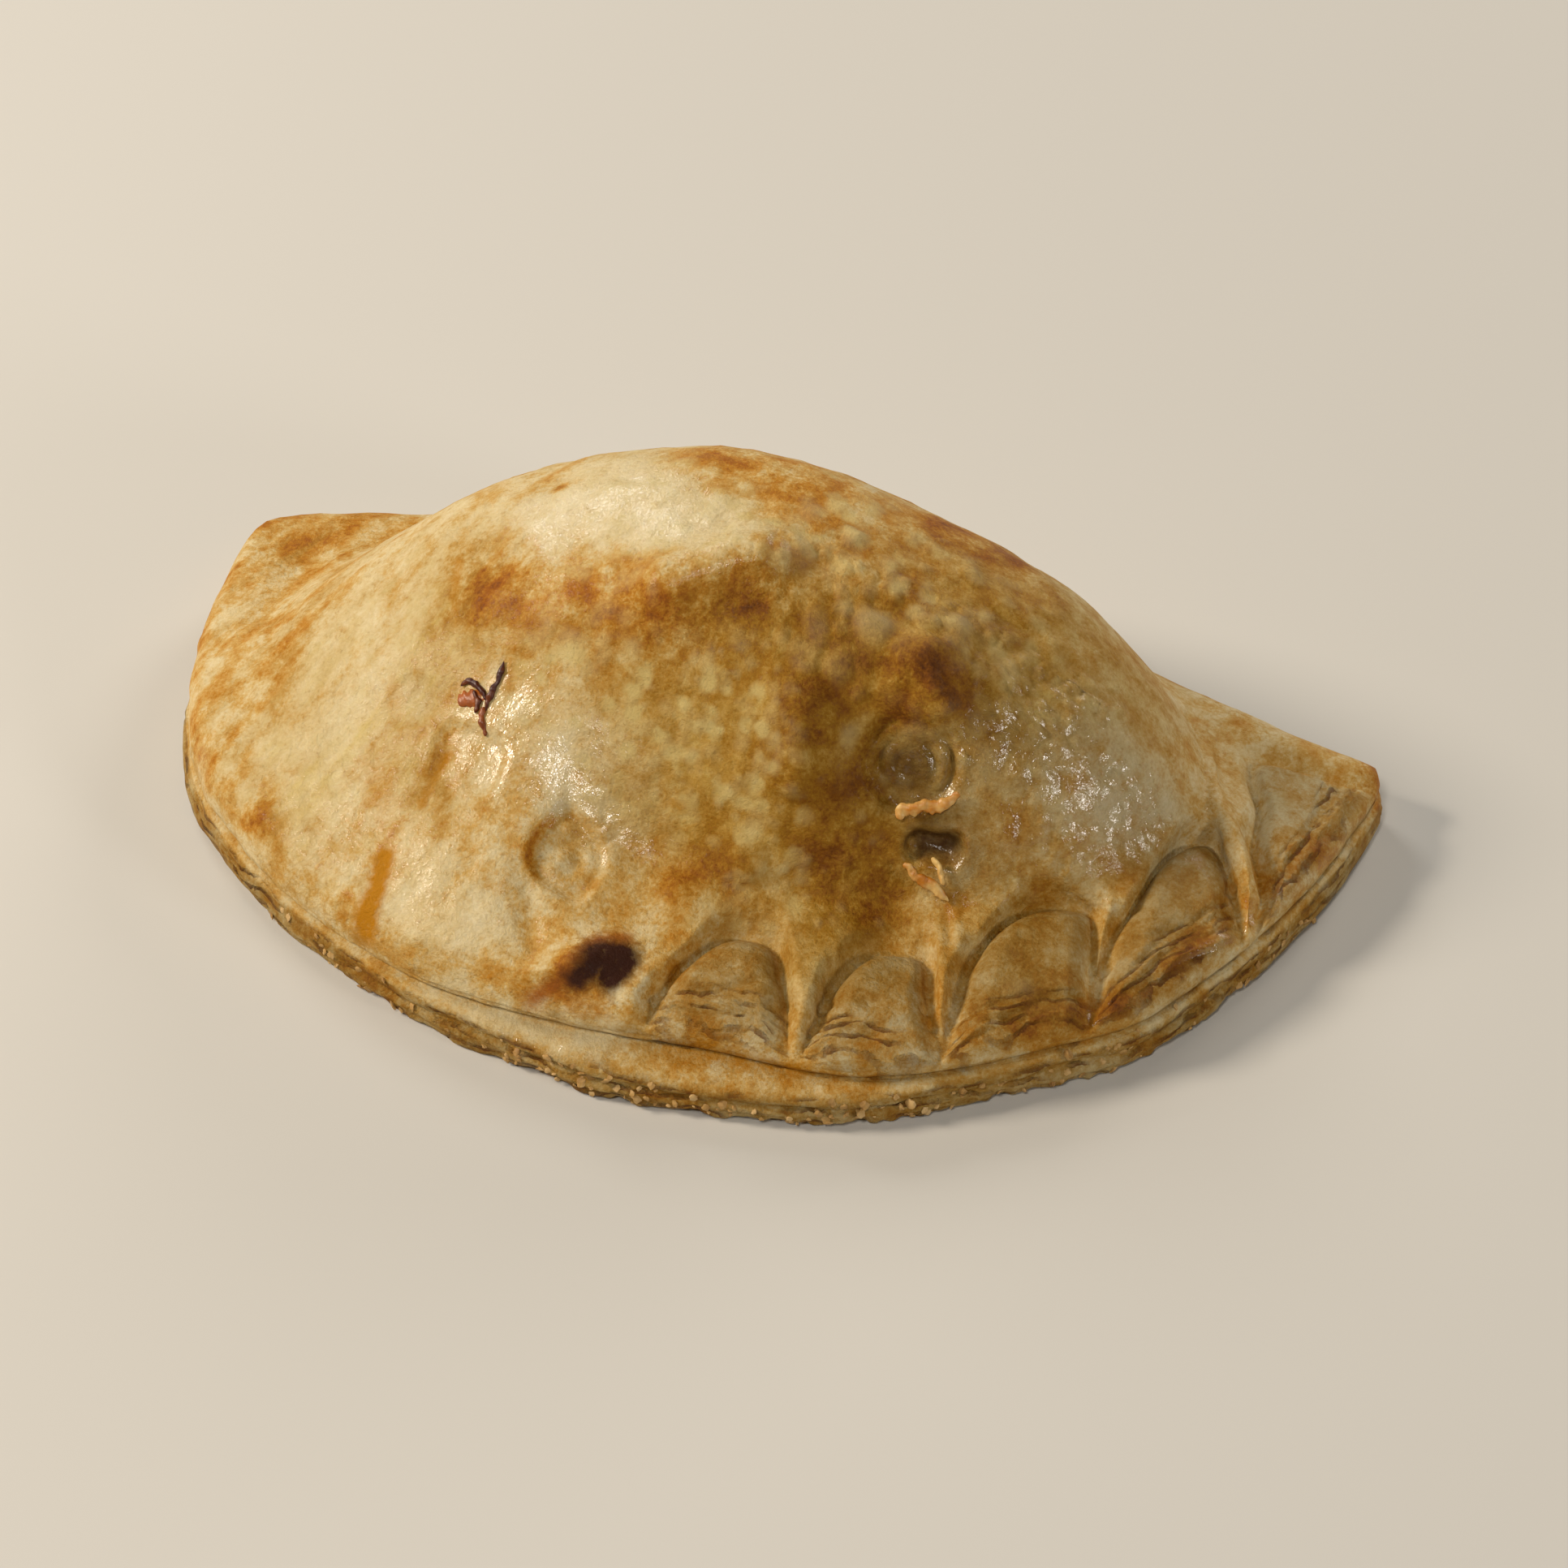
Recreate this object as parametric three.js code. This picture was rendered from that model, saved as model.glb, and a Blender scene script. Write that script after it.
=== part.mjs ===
// Oven-baked empanada: a disc of dough folded over its filling and pressed shut along the front.
// One solid, in millimetres. The fold lies along X at the back, the sealed edge faces -Y, up is +Z.
import * as THREE from "three";

// Dough disc and fold
const DISC_RADIUS = 72.9;
const CORNER_REACH = 71;
const FOLD_BULGE = 12;
const FOLD_DRAWN_IN = 3;
const FOLD_DRAWN_X = 50;
const FOLD_DRAWN_SPREAD = 18;
const CORNER_ROUND_LEFT = 12;
const CORNER_ROUND_RIGHT = 4;
const FOLD_ROUND = 6.5;
const FOLD_MIDDLE = 4.4;

// Sealed edge: a lower sheet that shows as a ledge, and an upper sheet with a soft lip.
// Angles are degrees round the disc from +X, so the front lies at 270.
const LEDGE_TOP = 4.8;
const LEDGE_LEAST = 0.9;
const LEDGE_MORE = 4.2;
const LEDGE_ANGLE = 275;
const LEDGE_SPREAD = 17;
const LIP_MIDDLE = 6.6;
const LIP_ROUND = 2.4;
const SEAM_HEIGHT = 9.0;
const SEAM_SLOPE = 0.1;
const SKIRT_SLOPE = 0.22;
const SKIRT_SLOPE_LEFT = 0.62;
const SKIRT_REACH = 27;
const SKIRT_BLEND = 10;
const SKIRT_START = [182, 212];
const SKIRT_EASES = [248, 272];
const SKIRT_END = [338, 352];
const SKIRT_CLEAR = [18, 36];

// Places round the rim where the edge swells out or draws in: degrees, degrees, millimetres
const RIM_SWELLS = [
  { at: 185, spread: 14, out: -1.2 },
  { at: 217, spread: 16, out: 2.8 },
  { at: 258, spread: 8, out: -0.6 },
  { at: 292, spread: 8, out: 0.8 },
  { at: 318, spread: 6, out: 1.2 },
  { at: 345, spread: 10, out: -0.6 },
];

// Side of the sealed rim from the base up to the lip, and the turns of the rounded side under the fold
const RIM_PROFILE = [
  { inset: 1.3, ledgeShare: 0, height: 0 },
  { inset: 0.25, ledgeShare: 0, height: 0.9 },
  { inset: 0, ledgeShare: 0, height: 2.4 },
  { inset: 0.5, ledgeShare: 0, height: 4.1 },
  { inset: 0.7, ledgeShare: 0.5, height: LEDGE_TOP },
  { inset: 0.7, ledgeShare: 1, height: 5.1 },
  { inset: 0.15, ledgeShare: 1, height: 5.7 },
  { inset: 0.05, ledgeShare: 1, height: LIP_MIDDLE },
];
const FOLD_TURNS = [-90, -62, -42, -26, -14, -8, -4, 0];

// Filled crown
const CROWN_HEIGHT = 41.4;
const CROWN_X = -1.2;
const CROWN_Y = -18.5;
const CROWN_LEFT = 54.5;
const CROWN_RIGHT = 58;
const CROWN_FRONT = 34;
const CROWN_BACK = 31.5;
const CROWN_SQUARENESS = 2.15;
const CROWN_FULLNESS = 2.23;
const CROWN_SHOULDER = 0.7;
const FLANK_SHOULDER = 0.92;
const FLANK_ANGLE = 212;
const FLANK_SPREAD = 36;
const FLANK_SHARE = [0.1, 0.5];
const CROWN_BLEND = 7;
const CROWN_SOFT_BLEND = 16;
const SOFT_ANGLE = 216;
const SOFT_SPREAD = 38;
const CROWN_TIGHT_BLEND = 3;
const TIGHT_ANGLE = 306;
const TIGHT_SPREAD = 34;

// Thumb presses that seal the front, in plan: sides and top, how far the arch drops at its left,
// how much the left and right sides lean as they run out to the rim, and how softly the arch runs up
const PRESSES = [
  { left: 4, right: 14.5, top: -54, drop: 9.5, leanLeft: 0, leanRight: 0.45, soft: 2.5 },
  { left: 21.5, right: 30.5, top: -50, drop: 7, leanLeft: 0, leanRight: 0.43, soft: 3 },
  { left: 35.5, right: 46.5, top: -38, drop: 10, leanLeft: 0, leanRight: 0.23, soft: 1.4 },
  { left: 49.5, right: 57, top: -22.5, drop: 16, leanLeft: 0, leanRight: 0.5, soft: 1.4 },
  { left: 57, right: 90, top: -6, drop: 2, leanLeft: 0.26, leanRight: 0, soft: 3 },
];
const PRESS_FLOOR = 7.9;
const PRESS_RISE = 0.2;
const PRESS_PILLOW = 1.5;
const PRESS_PILLOW_REACH = 3;
const PRESS_WALL = 1.4;
const PRESS_CORNER = 2;
const PRESS_SLANT = 0.8;

// Swellings and hollows of the crust: a line in plan, its half width, and its height along the crust
const SWELLS = [
  { from: [-5.4, -30.4], to: [2.9, -25.5], wide: 4.4, rise: 2.4 },
  { from: [-26, -32], to: [-12, -32], wide: 7, rise: 1.1 },
  { from: [-5, -8], to: [2, -9], wide: 9, rise: 1.3 },
  { from: [23.5, -29.8], to: [25.5, -32], wide: 3.6, rise: 2.1 },
  { from: [11.7, -37.7], to: [13.2, -41.7], wide: 4, rise: 1.5 },
  { from: [36, -12], to: [44, -14], wide: 10, rise: 1.4 },
  { from: [41.7, -28.8], to: [48.6, -22.2], wide: 8, rise: 1.5 },
  { from: [2.5, -52], to: [8, -48.5], wide: 3.6, rise: 1.7 },
  { from: [20, -38], to: [28, -49], wide: 5, rise: -2 },
  { from: [-60, -9], to: [-59.5, -24], wide: 2.6, rise: -0.8 },
  { from: [-13.4, -58.1], to: [-10.2, -64.4], wide: 2, rise: -0.8 },
  { from: [55.5, -19.5], to: [62.5, -29], wide: 2.2, rise: 1.2 },
];

// Round marks left in the crust: place in plan, radius and depth
const STAMP_EDGE = [1.15, 0.75];
const STAMPS = [
  { at: [-23.9, -47.6], radius: 5.2, depth: 0.45 },
  { at: [-10.2, -53.5], radius: 5.2, depth: 0.7 },
  { at: [24.5, -38.2], radius: 4.8, depth: 0.7 },
];

// Rolled fold of the lip beside the first press, over a scorched cup
const NOSE = [
  { from: [-8, -67.5], to: [-3.5, -62.5], wide: 2.2, rise: 2.4 },
  { from: [-3.5, -62.5], to: [-0.5, -61.5], wide: 1.8, rise: 1.6 },
];
const CUP = { at: [-1.4, -65.2], radius: 3.3, depth: 3 };
const CUP_EDGE = [1.4, 0.3];

// Torn vent with its two lifted flakes
const VENT = { from: [28.8, -42.6], to: [31, -41.4], wide: 2.2, rise: -2.4 };
const VENT_FLAKES = [
  { from: [24.5, -41.4], to: [30.1, -38.3], wide: 1.7, rise: 1.3 },
  { from: [26.2, -43.7], to: [31.4, -46.1], wide: 1.7, rise: 1.3 },
];

// Fineness of the surface
const COLUMNS = 152;
const TOP_ROWS = 30;
const ROW_EASE = 1.25;
const FRONT_ANGLE = 302;
const FRONT_SPREAD = 42;
const FRONT_DENSITY = 1.4;
const CENTRE_X = -1;
const CENTRE_Y = -24;
const NORMAL_STEP = 0.6;
const RELIEF_FADE_LIP = 2.5;
const RELIEF_FADE_FOLD = 6;
const CORNER_BLEND = 7;

const CRUST_COLOUR = "#cf9f57";

const clamp = (value, low, high) => Math.min(Math.max(value, low), high);
const mix = (a, b, share) => a + (b - a) * share;

function ease(low, high, value) {
  const t = clamp((value - low) / (high - low), 0, 1);
  return t * t * (3 - 2 * t);
}

function hump(value, middle, spread) {
  const t = (value - middle) / spread;
  return Math.exp(-t * t);
}

// The same for angles in degrees, which go round
function turnHump(angle, middle, spread) {
  return hump(THREE.MathUtils.euclideanModulo(angle - middle + 180, 360) - 180, 0, spread);
}

function softLeast(a, b, blend) {
  const reach = 1.5 * blend;
  const near = Math.max(1 - Math.abs(a - b) / reach, 0);
  return Math.min(a, b) - (reach * near ** 3) / 6;
}

function softMost(a, b, blend) {
  return -softLeast(-a, -b, blend);
}

// Quarter-round from 0 at an edge to 1 at one radius inside it
function edgeRound(inset, radius) {
  const t = 1 - clamp(inset / radius, 0, 1);
  return Math.sqrt(1 - t * t);
}

// Compass angle of a place round the disc, 0 to 360 degrees from +X
function rimAngle(x, y) {
  return (THREE.MathUtils.radToDeg(Math.atan2(y, x)) + 360) % 360;
}

function sealInset(x, y) {
  const angle = rimAngle(x, y);
  let radius = DISC_RADIUS;
  for (const swell of RIM_SWELLS) {
    radius += swell.out * turnHump(angle, swell.at, swell.spread);
  }
  return radius - Math.hypot(x, y);
}

function foldInset(x, y) {
  const drawnIn = FOLD_DRAWN_IN * hump(x, FOLD_DRAWN_X, FOLD_DRAWN_SPREAD);
  const line = FOLD_BULGE * (1 - (x / CORNER_REACH) ** 2) - drawnIn;
  const slope = (-2 * FOLD_BULGE * x) / CORNER_REACH ** 2;
  return (line - y) / Math.hypot(1, slope);
}

function rimInset(x, y) {
  const round = x < 0 ? CORNER_ROUND_LEFT : CORNER_ROUND_RIGHT;
  return softLeast(sealInset(x, y), foldInset(x, y), round);
}

function ledgeWidth(angle) {
  return LEDGE_LEAST + LEDGE_MORE * turnHump(angle, LEDGE_ANGLE, LEDGE_SPREAD);
}

function crownHeight(x, y) {
  const across = (x - CROWN_X) / (x < CROWN_X ? CROWN_LEFT : CROWN_RIGHT);
  const along = (y - CROWN_Y) / (y < CROWN_Y ? CROWN_FRONT : CROWN_BACK);
  const spread = Math.abs(across) ** CROWN_SQUARENESS + Math.abs(along) ** CROWN_SQUARENESS;
  const share = Math.min(spread ** (1 / CROWN_SQUARENESS), 1);
  const flank = turnHump(rimAngle(across, along), FLANK_ANGLE, FLANK_SPREAD) * ease(...FLANK_SHARE, share);
  const shoulder = mix(CROWN_SHOULDER, FLANK_SHOULDER, flank);
  return CROWN_HEIGHT * (1 - share ** CROWN_FULLNESS) ** shoulder;
}

// Each press sinks a low pillow into the slope, with a steep wall at its arch and sides
function pressDown(point, seal) {
  for (const press of PRESSES) {
    const out = press.top - point.y;
    const leftSide = press.left + press.leanLeft * out;
    const rightSide = press.right + press.leanRight * out;
    const across = clamp((point.x - press.left) / (press.right - press.left), 0, 1);
    const arch = PRESS_SLANT * (press.top - press.drop * (1 - across) ** 3 - point.y);
    const sides = softLeast(point.x - leftSide, rightSide - point.x, PRESS_CORNER);
    const inside = softLeast(sides, arch, PRESS_CORNER);
    const pillow = PRESS_PILLOW * (1 - Math.exp(-Math.max(inside, 0) / PRESS_PILLOW_REACH));
    const floor = PRESS_FLOOR + PRESS_RISE * seal + pillow;
    const share = ease(-PRESS_WALL, PRESS_WALL, sides) * ease(-press.soft, press.soft, arch);
    point.z = mix(point.z, Math.min(point.z, floor), share);
  }
}

// Slope of the filled crust over a place in plan, before swellings, marks and presses
function filledHeight(x, y) {
  const angle = rimAngle(x, y);
  const outer = ease(...SKIRT_CLEAR, Math.hypot(x, y));
  const front = outer * ease(...SKIRT_START, angle) * (1 - ease(...SKIRT_END, angle));
  const skirt = mix(SKIRT_SLOPE_LEFT, SKIRT_SLOPE, ease(...SKIRT_EASES, angle));
  const slope = mix(SEAM_SLOPE, skirt, front);
  const inFromRim = softLeast(Math.max(sealInset(x, y), 0), SKIRT_REACH, SKIRT_BLEND);
  const seam = SEAM_HEIGHT + slope * inFromRim;
  const soft = outer * turnHump(angle, SOFT_ANGLE, SOFT_SPREAD);
  const tight = outer * turnHump(angle, TIGHT_ANGLE, TIGHT_SPREAD);
  const blend = mix(mix(CROWN_BLEND, CROWN_SOFT_BLEND, soft), CROWN_TIGHT_BLEND, tight);
  return softMost(seam, crownHeight(x, y), blend);
}

function onFilled(x, y) {
  return new THREE.Vector3(x, y, filledHeight(x, y));
}

function filledNormal(x, y) {
  const d = NORMAL_STEP;
  const slopeX = (filledHeight(x + d, y) - filledHeight(x - d, y)) / (2 * d);
  const slopeY = (filledHeight(x, y + d) - filledHeight(x, y - d)) / (2 * d);
  return new THREE.Vector3(-slopeX, -slopeY, 1).normalize();
}

// Height of the swellings and marks at a point of the filled crust
function makeRelief() {
  const strokes = [...SWELLS, ...VENT_FLAKES, VENT, ...NOSE].map((stroke) => ({
    ...stroke,
    line: new THREE.Line3(onFilled(...stroke.from), onFilled(...stroke.to)),
  }));
  const stamps = STAMPS.map((stamp) => ({ ...stamp, middle: onFilled(...stamp.at) }));
  const cup = onFilled(...CUP.at);
  const nearest = new THREE.Vector3();
  return (point) => {
    let rise = 0;
    for (const stroke of strokes) {
      stroke.line.closestPointToPoint(point, true, nearest);
      rise += stroke.rise * hump(nearest.distanceTo(point), 0, stroke.wide);
    }
    for (const stamp of stamps) {
      rise -= stamp.depth * ease(...STAMP_EDGE, stamp.middle.distanceTo(point) / stamp.radius);
    }
    return rise - CUP.depth * ease(...CUP_EDGE, cup.distanceTo(point) / CUP.radius);
  };
}

// Finished point of the crust over a place in plan
function crustPoint(x, y, relief) {
  const point = onFilled(x, y);
  const seal = sealInset(x, y);
  const lip = seal - ledgeWidth(rimAngle(x, y));
  const fold = foldInset(x, y);
  const lift = relief(point) * ease(0, RELIEF_FADE_LIP, lip) * ease(0, RELIEF_FADE_FOLD, fold);
  point.addScaledVector(filledNormal(x, y), lift);
  pressDown(point, seal);
  point.z = mix(LIP_MIDDLE, point.z, edgeRound(lip, LIP_ROUND));
  point.z = mix(FOLD_MIDDLE, point.z, edgeRound(fold, FOLD_ROUND));
  return point;
}

// Directions of the columns, closer together past the pressed front
function columnDirections() {
  const samples = 1440;
  const weight = (degrees) => 1 + FRONT_DENSITY * hump(degrees, FRONT_ANGLE, FRONT_SPREAD);
  let total = 0;
  for (let i = 0; i < samples; i += 1) {
    total += weight((360 * (i + 0.5)) / samples);
  }
  const directions = [];
  let passed = 0;
  for (let i = 0; i < samples; i += 1) {
    const share = weight((360 * (i + 0.5)) / samples);
    const due = ((directions.length + 0.5) * total) / COLUMNS;
    if (passed + share >= due && directions.length < COLUMNS) {
      const degrees = (360 * (i + (due - passed) / share)) / samples;
      directions.push(THREE.MathUtils.degToRad(degrees));
    }
    passed += share;
  }
  return directions;
}

// Distance from the centre to the rim along a direction
function reachToRim(dx, dy) {
  let inside = 0;
  let outside = 2 * DISC_RADIUS;
  for (let i = 0; i < 50; i += 1) {
    const middle = (inside + outside) / 2;
    if (rimInset(CENTRE_X + middle * dx, CENTRE_Y + middle * dy) > 0) {
      inside = middle;
    } else {
      outside = middle;
    }
  }
  return inside;
}

// Side of the rim from the flat base up to the lip: rows of inset and height
function rimSide(ledge, foldShare) {
  return RIM_PROFILE.map((row, i) => {
    const turn = THREE.MathUtils.degToRad(FOLD_TURNS[i]);
    const foldedInset = FOLD_MIDDLE * (1 - Math.cos(turn));
    const foldedHeight = FOLD_MIDDLE * (1 + Math.sin(turn));
    return {
      inset: mix(row.inset + row.ledgeShare * ledge, foldedInset, foldShare),
      height: mix(row.height, foldedHeight, foldShare),
    };
  });
}

function makeColumn(direction, relief) {
  const dx = Math.cos(direction);
  const dy = Math.sin(direction);
  const reach = reachToRim(dx, dy);
  const rimX = CENTRE_X + reach * dx;
  const rimY = CENTRE_Y + reach * dy;
  const ledge = ledgeWidth(rimAngle(rimX, rimY));
  const foldNearer = sealInset(rimX, rimY) - foldInset(rimX, rimY);
  const foldShare = ease(-CORNER_BLEND, CORNER_BLEND, foldNearer);
  const column = [];
  let inset = 0;
  for (const row of rimSide(ledge, foldShare)) {
    inset = row.inset;
    column.push(new THREE.Vector3(rimX - inset * dx, rimY - inset * dy, row.height));
  }
  for (let row = 1; row <= TOP_ROWS; row += 1) {
    const along = mix(inset, reach, (row / (TOP_ROWS + 1)) ** ROW_EASE);
    column.push(crustPoint(rimX - along * dx, rimY - along * dy, relief));
  }
  return column;
}

function buildCrust() {
  const relief = makeRelief();
  const columns = columnDirections().map((direction) => makeColumn(direction, relief));
  const rows = columns[0].length;
  const crown = crustPoint(CENTRE_X, CENTRE_Y, relief);
  const points = [new THREE.Vector3(CENTRE_X, CENTRE_Y, 0), crown, ...columns.flat()];
  const at = (column, row) => 2 + (column % columns.length) * rows + row;
  const faces = [];
  for (let c = 0; c < columns.length; c += 1) {
    faces.push(0, at(c + 1, 0), at(c, 0));
    for (let r = 0; r + 1 < rows; r += 1) {
      faces.push(at(c, r), at(c + 1, r), at(c + 1, r + 1));
      faces.push(at(c, r), at(c + 1, r + 1), at(c, r + 1));
    }
    faces.push(1, at(c, rows - 1), at(c + 1, rows - 1));
  }
  const geometry = new THREE.BufferGeometry().setFromPoints(points);
  geometry.setIndex(faces);
  geometry.computeVertexNormals();
  geometry.computeBoundingBox();
  return geometry;
}

const crust = buildCrust();
const middle = crust.boundingBox.getCenter(new THREE.Vector3());
crust.translate(-middle.x, -middle.y, 0);

const bakedDough = new THREE.MeshStandardMaterial({ color: CRUST_COLOUR, roughness: 0.55, metalness: 0 });
const empanada = new THREE.Mesh(crust, bakedDough);
empanada.name = "empanada";

const part = new THREE.Group();
part.name = "empanada_part";
part.add(empanada);

export default part;
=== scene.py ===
import math
from collections import namedtuple

import bpy
import numpy as np
from mathutils import Matrix, Vector


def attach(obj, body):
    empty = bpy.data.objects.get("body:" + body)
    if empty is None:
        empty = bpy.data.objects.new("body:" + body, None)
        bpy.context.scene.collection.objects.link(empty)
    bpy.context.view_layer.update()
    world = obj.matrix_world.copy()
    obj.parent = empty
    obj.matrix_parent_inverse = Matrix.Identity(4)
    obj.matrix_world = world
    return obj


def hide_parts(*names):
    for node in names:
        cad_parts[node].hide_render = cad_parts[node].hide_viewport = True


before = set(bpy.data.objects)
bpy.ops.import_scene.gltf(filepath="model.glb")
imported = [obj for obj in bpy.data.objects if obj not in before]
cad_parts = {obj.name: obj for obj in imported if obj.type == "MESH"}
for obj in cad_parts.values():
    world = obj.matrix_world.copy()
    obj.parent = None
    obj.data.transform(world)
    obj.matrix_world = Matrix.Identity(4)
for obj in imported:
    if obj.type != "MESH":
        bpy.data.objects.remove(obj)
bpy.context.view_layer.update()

# Millimetres in the dough's own frame, as in the solid: the fold lies along X at the back, the sealed
# edge faces -Y and the base is z = 0. The finished pieces are moved by DOUGH_MIDDLE and turned to metres.
DOUGH_MIDDLE = (0.770, -30.424)
MM = 0.001
PER_SQUARE_CM = 10000.0

# Camera, and the size of the picture that the places of marks are given in
PICTURE = 1932
VIEW_AZIMUTH = 18.0
VIEW_ELEVATION = 44.0
VIEW_DISTANCE = 500.0
VIEW_ANGLE = 20.39
VIEW_TARGET = (6.850, -0.326, 12.0)
VIEW_REACH = (430.0, 590.0)
VIEW_STEPS = 641

# Dough disc and fold
DISC_RADIUS = 72.9
CORNER_REACH = 71.0
FOLD_BULGE = 12.0
FOLD_DRAWN_IN = 3.0
FOLD_DRAWN_X = 50.0
FOLD_DRAWN_SPREAD = 18.0
CORNER_ROUND_LEFT = 12.0
CORNER_ROUND_RIGHT = 4.0
CORNER_BLEND = 7.0
FOLD_ROUND = 6.5
FOLD_MIDDLE = 4.4

# Sealed edge: a lower sheet that shows as a ledge, and an upper sheet with a soft lip.
# Angles are degrees round the disc from +X, so the front lies at 270.
LEDGE_TOP = 4.8
LEDGE_LEAST = 0.9
LEDGE_MORE = 4.2
LEDGE_ANGLE = 275.0
LEDGE_SPREAD = 17.0
LIP_MIDDLE = 6.6
LIP_ROUND = 2.4
SEAM_HEIGHT = 9.0

# Side of the rim from the base up, as inset, share of the ledge's width added to it, and height; and the
# angles round the rolled fold at the same rows
RimRow = namedtuple("RimRow", "inset ledge_share height")
RIM_PROFILE = (
    RimRow(1.3, 0, 0),
    RimRow(0.25, 0, 0.9),
    RimRow(0, 0, 2.4),
    RimRow(0.45, 0, 4.1),
    RimRow(0.5, 0.5, LEDGE_TOP),
    RimRow(0.4, 1, 5.2),
    RimRow(0.15, 1, 5.7),
    RimRow(0.05, 1, LIP_MIDDLE),
)
FOLD_TURNS = (-90, -62, -42, -26, -14, -8, -4, 0)

# Slope of the crust in from the lip
SEAM_SLOPE = 0.1
SKIRT_SLOPE = 0.22
SKIRT_SLOPE_LEFT = 0.62
SKIRT_REACH = 27.0
SKIRT_BLEND = 10.0
SKIRT_START = (182.0, 212.0)
SKIRT_EASES = (248.0, 272.0)
SKIRT_END = (338.0, 352.0)
SKIRT_CLEAR = (18.0, 36.0)

# Places round the rim where the edge swells out or draws in: degrees, degrees, millimetres
RimSwell = namedtuple("RimSwell", "at spread out")
RIM_SWELLS = (
    RimSwell(185, 14, -1.2),
    RimSwell(217, 16, 2.8),
    RimSwell(258, 8, -0.6),
    RimSwell(292, 8, 0.8),
    RimSwell(318, 6, 1.2),
    RimSwell(345, 10, -0.6),
)

# Filled crown
CROWN_HEIGHT = 41.4
CROWN_X = -1.2
CROWN_Y = -18.5
CROWN_LEFT = 54.5
CROWN_RIGHT = 58.0
CROWN_FRONT = 34.0
CROWN_BACK = 31.5
CROWN_SQUARENESS = 2.15
CROWN_FULLNESS = 2.23
CROWN_SHOULDER = 0.7
FLANK_SHOULDER = 0.92
FLANK_ANGLE = 212.0
FLANK_SPREAD = 36.0
FLANK_SHARE = (0.1, 0.5)
CROWN_BLEND = 7.0
CROWN_SOFT_BLEND = 16.0
SOFT_ANGLE = 216.0
SOFT_SPREAD = 38.0
CROWN_TIGHT_BLEND = 3.0
TIGHT_ANGLE = 306.0
TIGHT_SPREAD = 34.0

# Thumb presses that seal the front, in plan: sides and top, how far the arch drops at its left, how much the
# sides lean as they run out to the rim, and how softly the arch runs up into the crust
Press = namedtuple("Press", "left right top drop lean_left lean_right soft")
PRESSES = (
    Press(4, 14.5, -54, 9.5, 0, 0.45, 2.5),
    Press(21.5, 30.5, -50, 7, 0, 0.43, 3.0),
    Press(35.5, 46.5, -38, 10, 0, 0.23, 1.6),
    Press(49.5, 57, -22.5, 16, 0, 0.5, 1.6),
    Press(57, 90, -6, 2, 0.26, 0, 3.0),
)
PRESS_FLOOR = 6.5
PRESS_RISE = 0.2
PRESS_PILLOW = 3.5
PRESS_PILLOW_REACH = 2.2
PRESS_WALL = 1.8
PRESS_TOE = 0.3
PRESS_CORNER = 2.0
PRESS_SLANT = 0.8
PRESS_CREASE = 0.3
PRESS_CREASE_WIDE = 0.8
PRESS_CREASE_RIGHT = 0.3
PRESS_WANDER = 0.7
PRESS_WANDER_SIZE = 5.0
PRESS_WANDER_SEEDS = (91, 92)
CREASE_UNEVEN = (-0.8, 0.6)
CREASE_UNEVEN_SIZE = 4.0
CREASE_SEED = 93
CREASE_FADE = (0.5, 3.0)

# Swellings and hollows of the crust: a line in plan, its half width, and its height along the crust
Stroke = namedtuple("Stroke", "start end wide rise")
SWELLS = (
    Stroke((-5.4, -30.4), (2.9, -25.5), 4.0, 3.0),
    Stroke((-26, -32), (-12, -32), 7, 1.1),
    Stroke((-5, -8), (2, -9), 9, 1.3),
    Stroke((23.5, -29.8), (25.5, -32), 3.4, 2.7),
    Stroke((11.7, -37.7), (13.2, -41.7), 3.6, 2.1),
    Stroke((36, -12), (44, -14), 10, 1.4),
    Stroke((41.7, -28.8), (48.6, -22.2), 8, 1.5),
    Stroke((2.5, -52), (8, -48.5), 3.6, 1.7),
    Stroke((20, -38), (28, -49), 5, -2),
    Stroke((-60, -9), (-59.5, -24), 2.6, -0.8),
    Stroke((-13.4, -58.1), (-10.2, -64.4), 2, -0.4),
    Stroke((55.5, -19.5), (62.5, -29), 1.8, 1.3),
    Stroke((-8.8, -67.2), (-6.6, -65.4), 2.2, 1.1),
    Stroke((-5.0, -64.2), (-2.6, -62.8), 2.8, 1.7),
)
RELIEF_FADE_LIP = 2.5
RELIEF_FADE_FOLD = 6.0
NORMAL_STEP = 0.6

# Hollow beside the rolled fold of the lip, and the hole of the vent: a line in plan, radius, depth, the
# shares of the radius where the wall starts and ends, and how dark it is painted inside: partly scorch,
# partly painted shade in the hollow
Pit = namedtuple("Pit", "start end radius depth edge char")
PITS = (
    Pit((-1.2, -64.6), (-0.2, -63.6), 2.6, 0.9, (1.3, 0.2), 0.2),
    Pit((27.6, -42.3), (30.2, -41.4), 2.0, 2.6, (1.4, 0.3), 0.75),
)
PIT_SCORCH_AND_SHADE = (1.25, 0.45)
PIT_UNEVEN = 0.3
PIT_UNEVEN_SIZE = 1.7
PIT_SEED = 75

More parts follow.
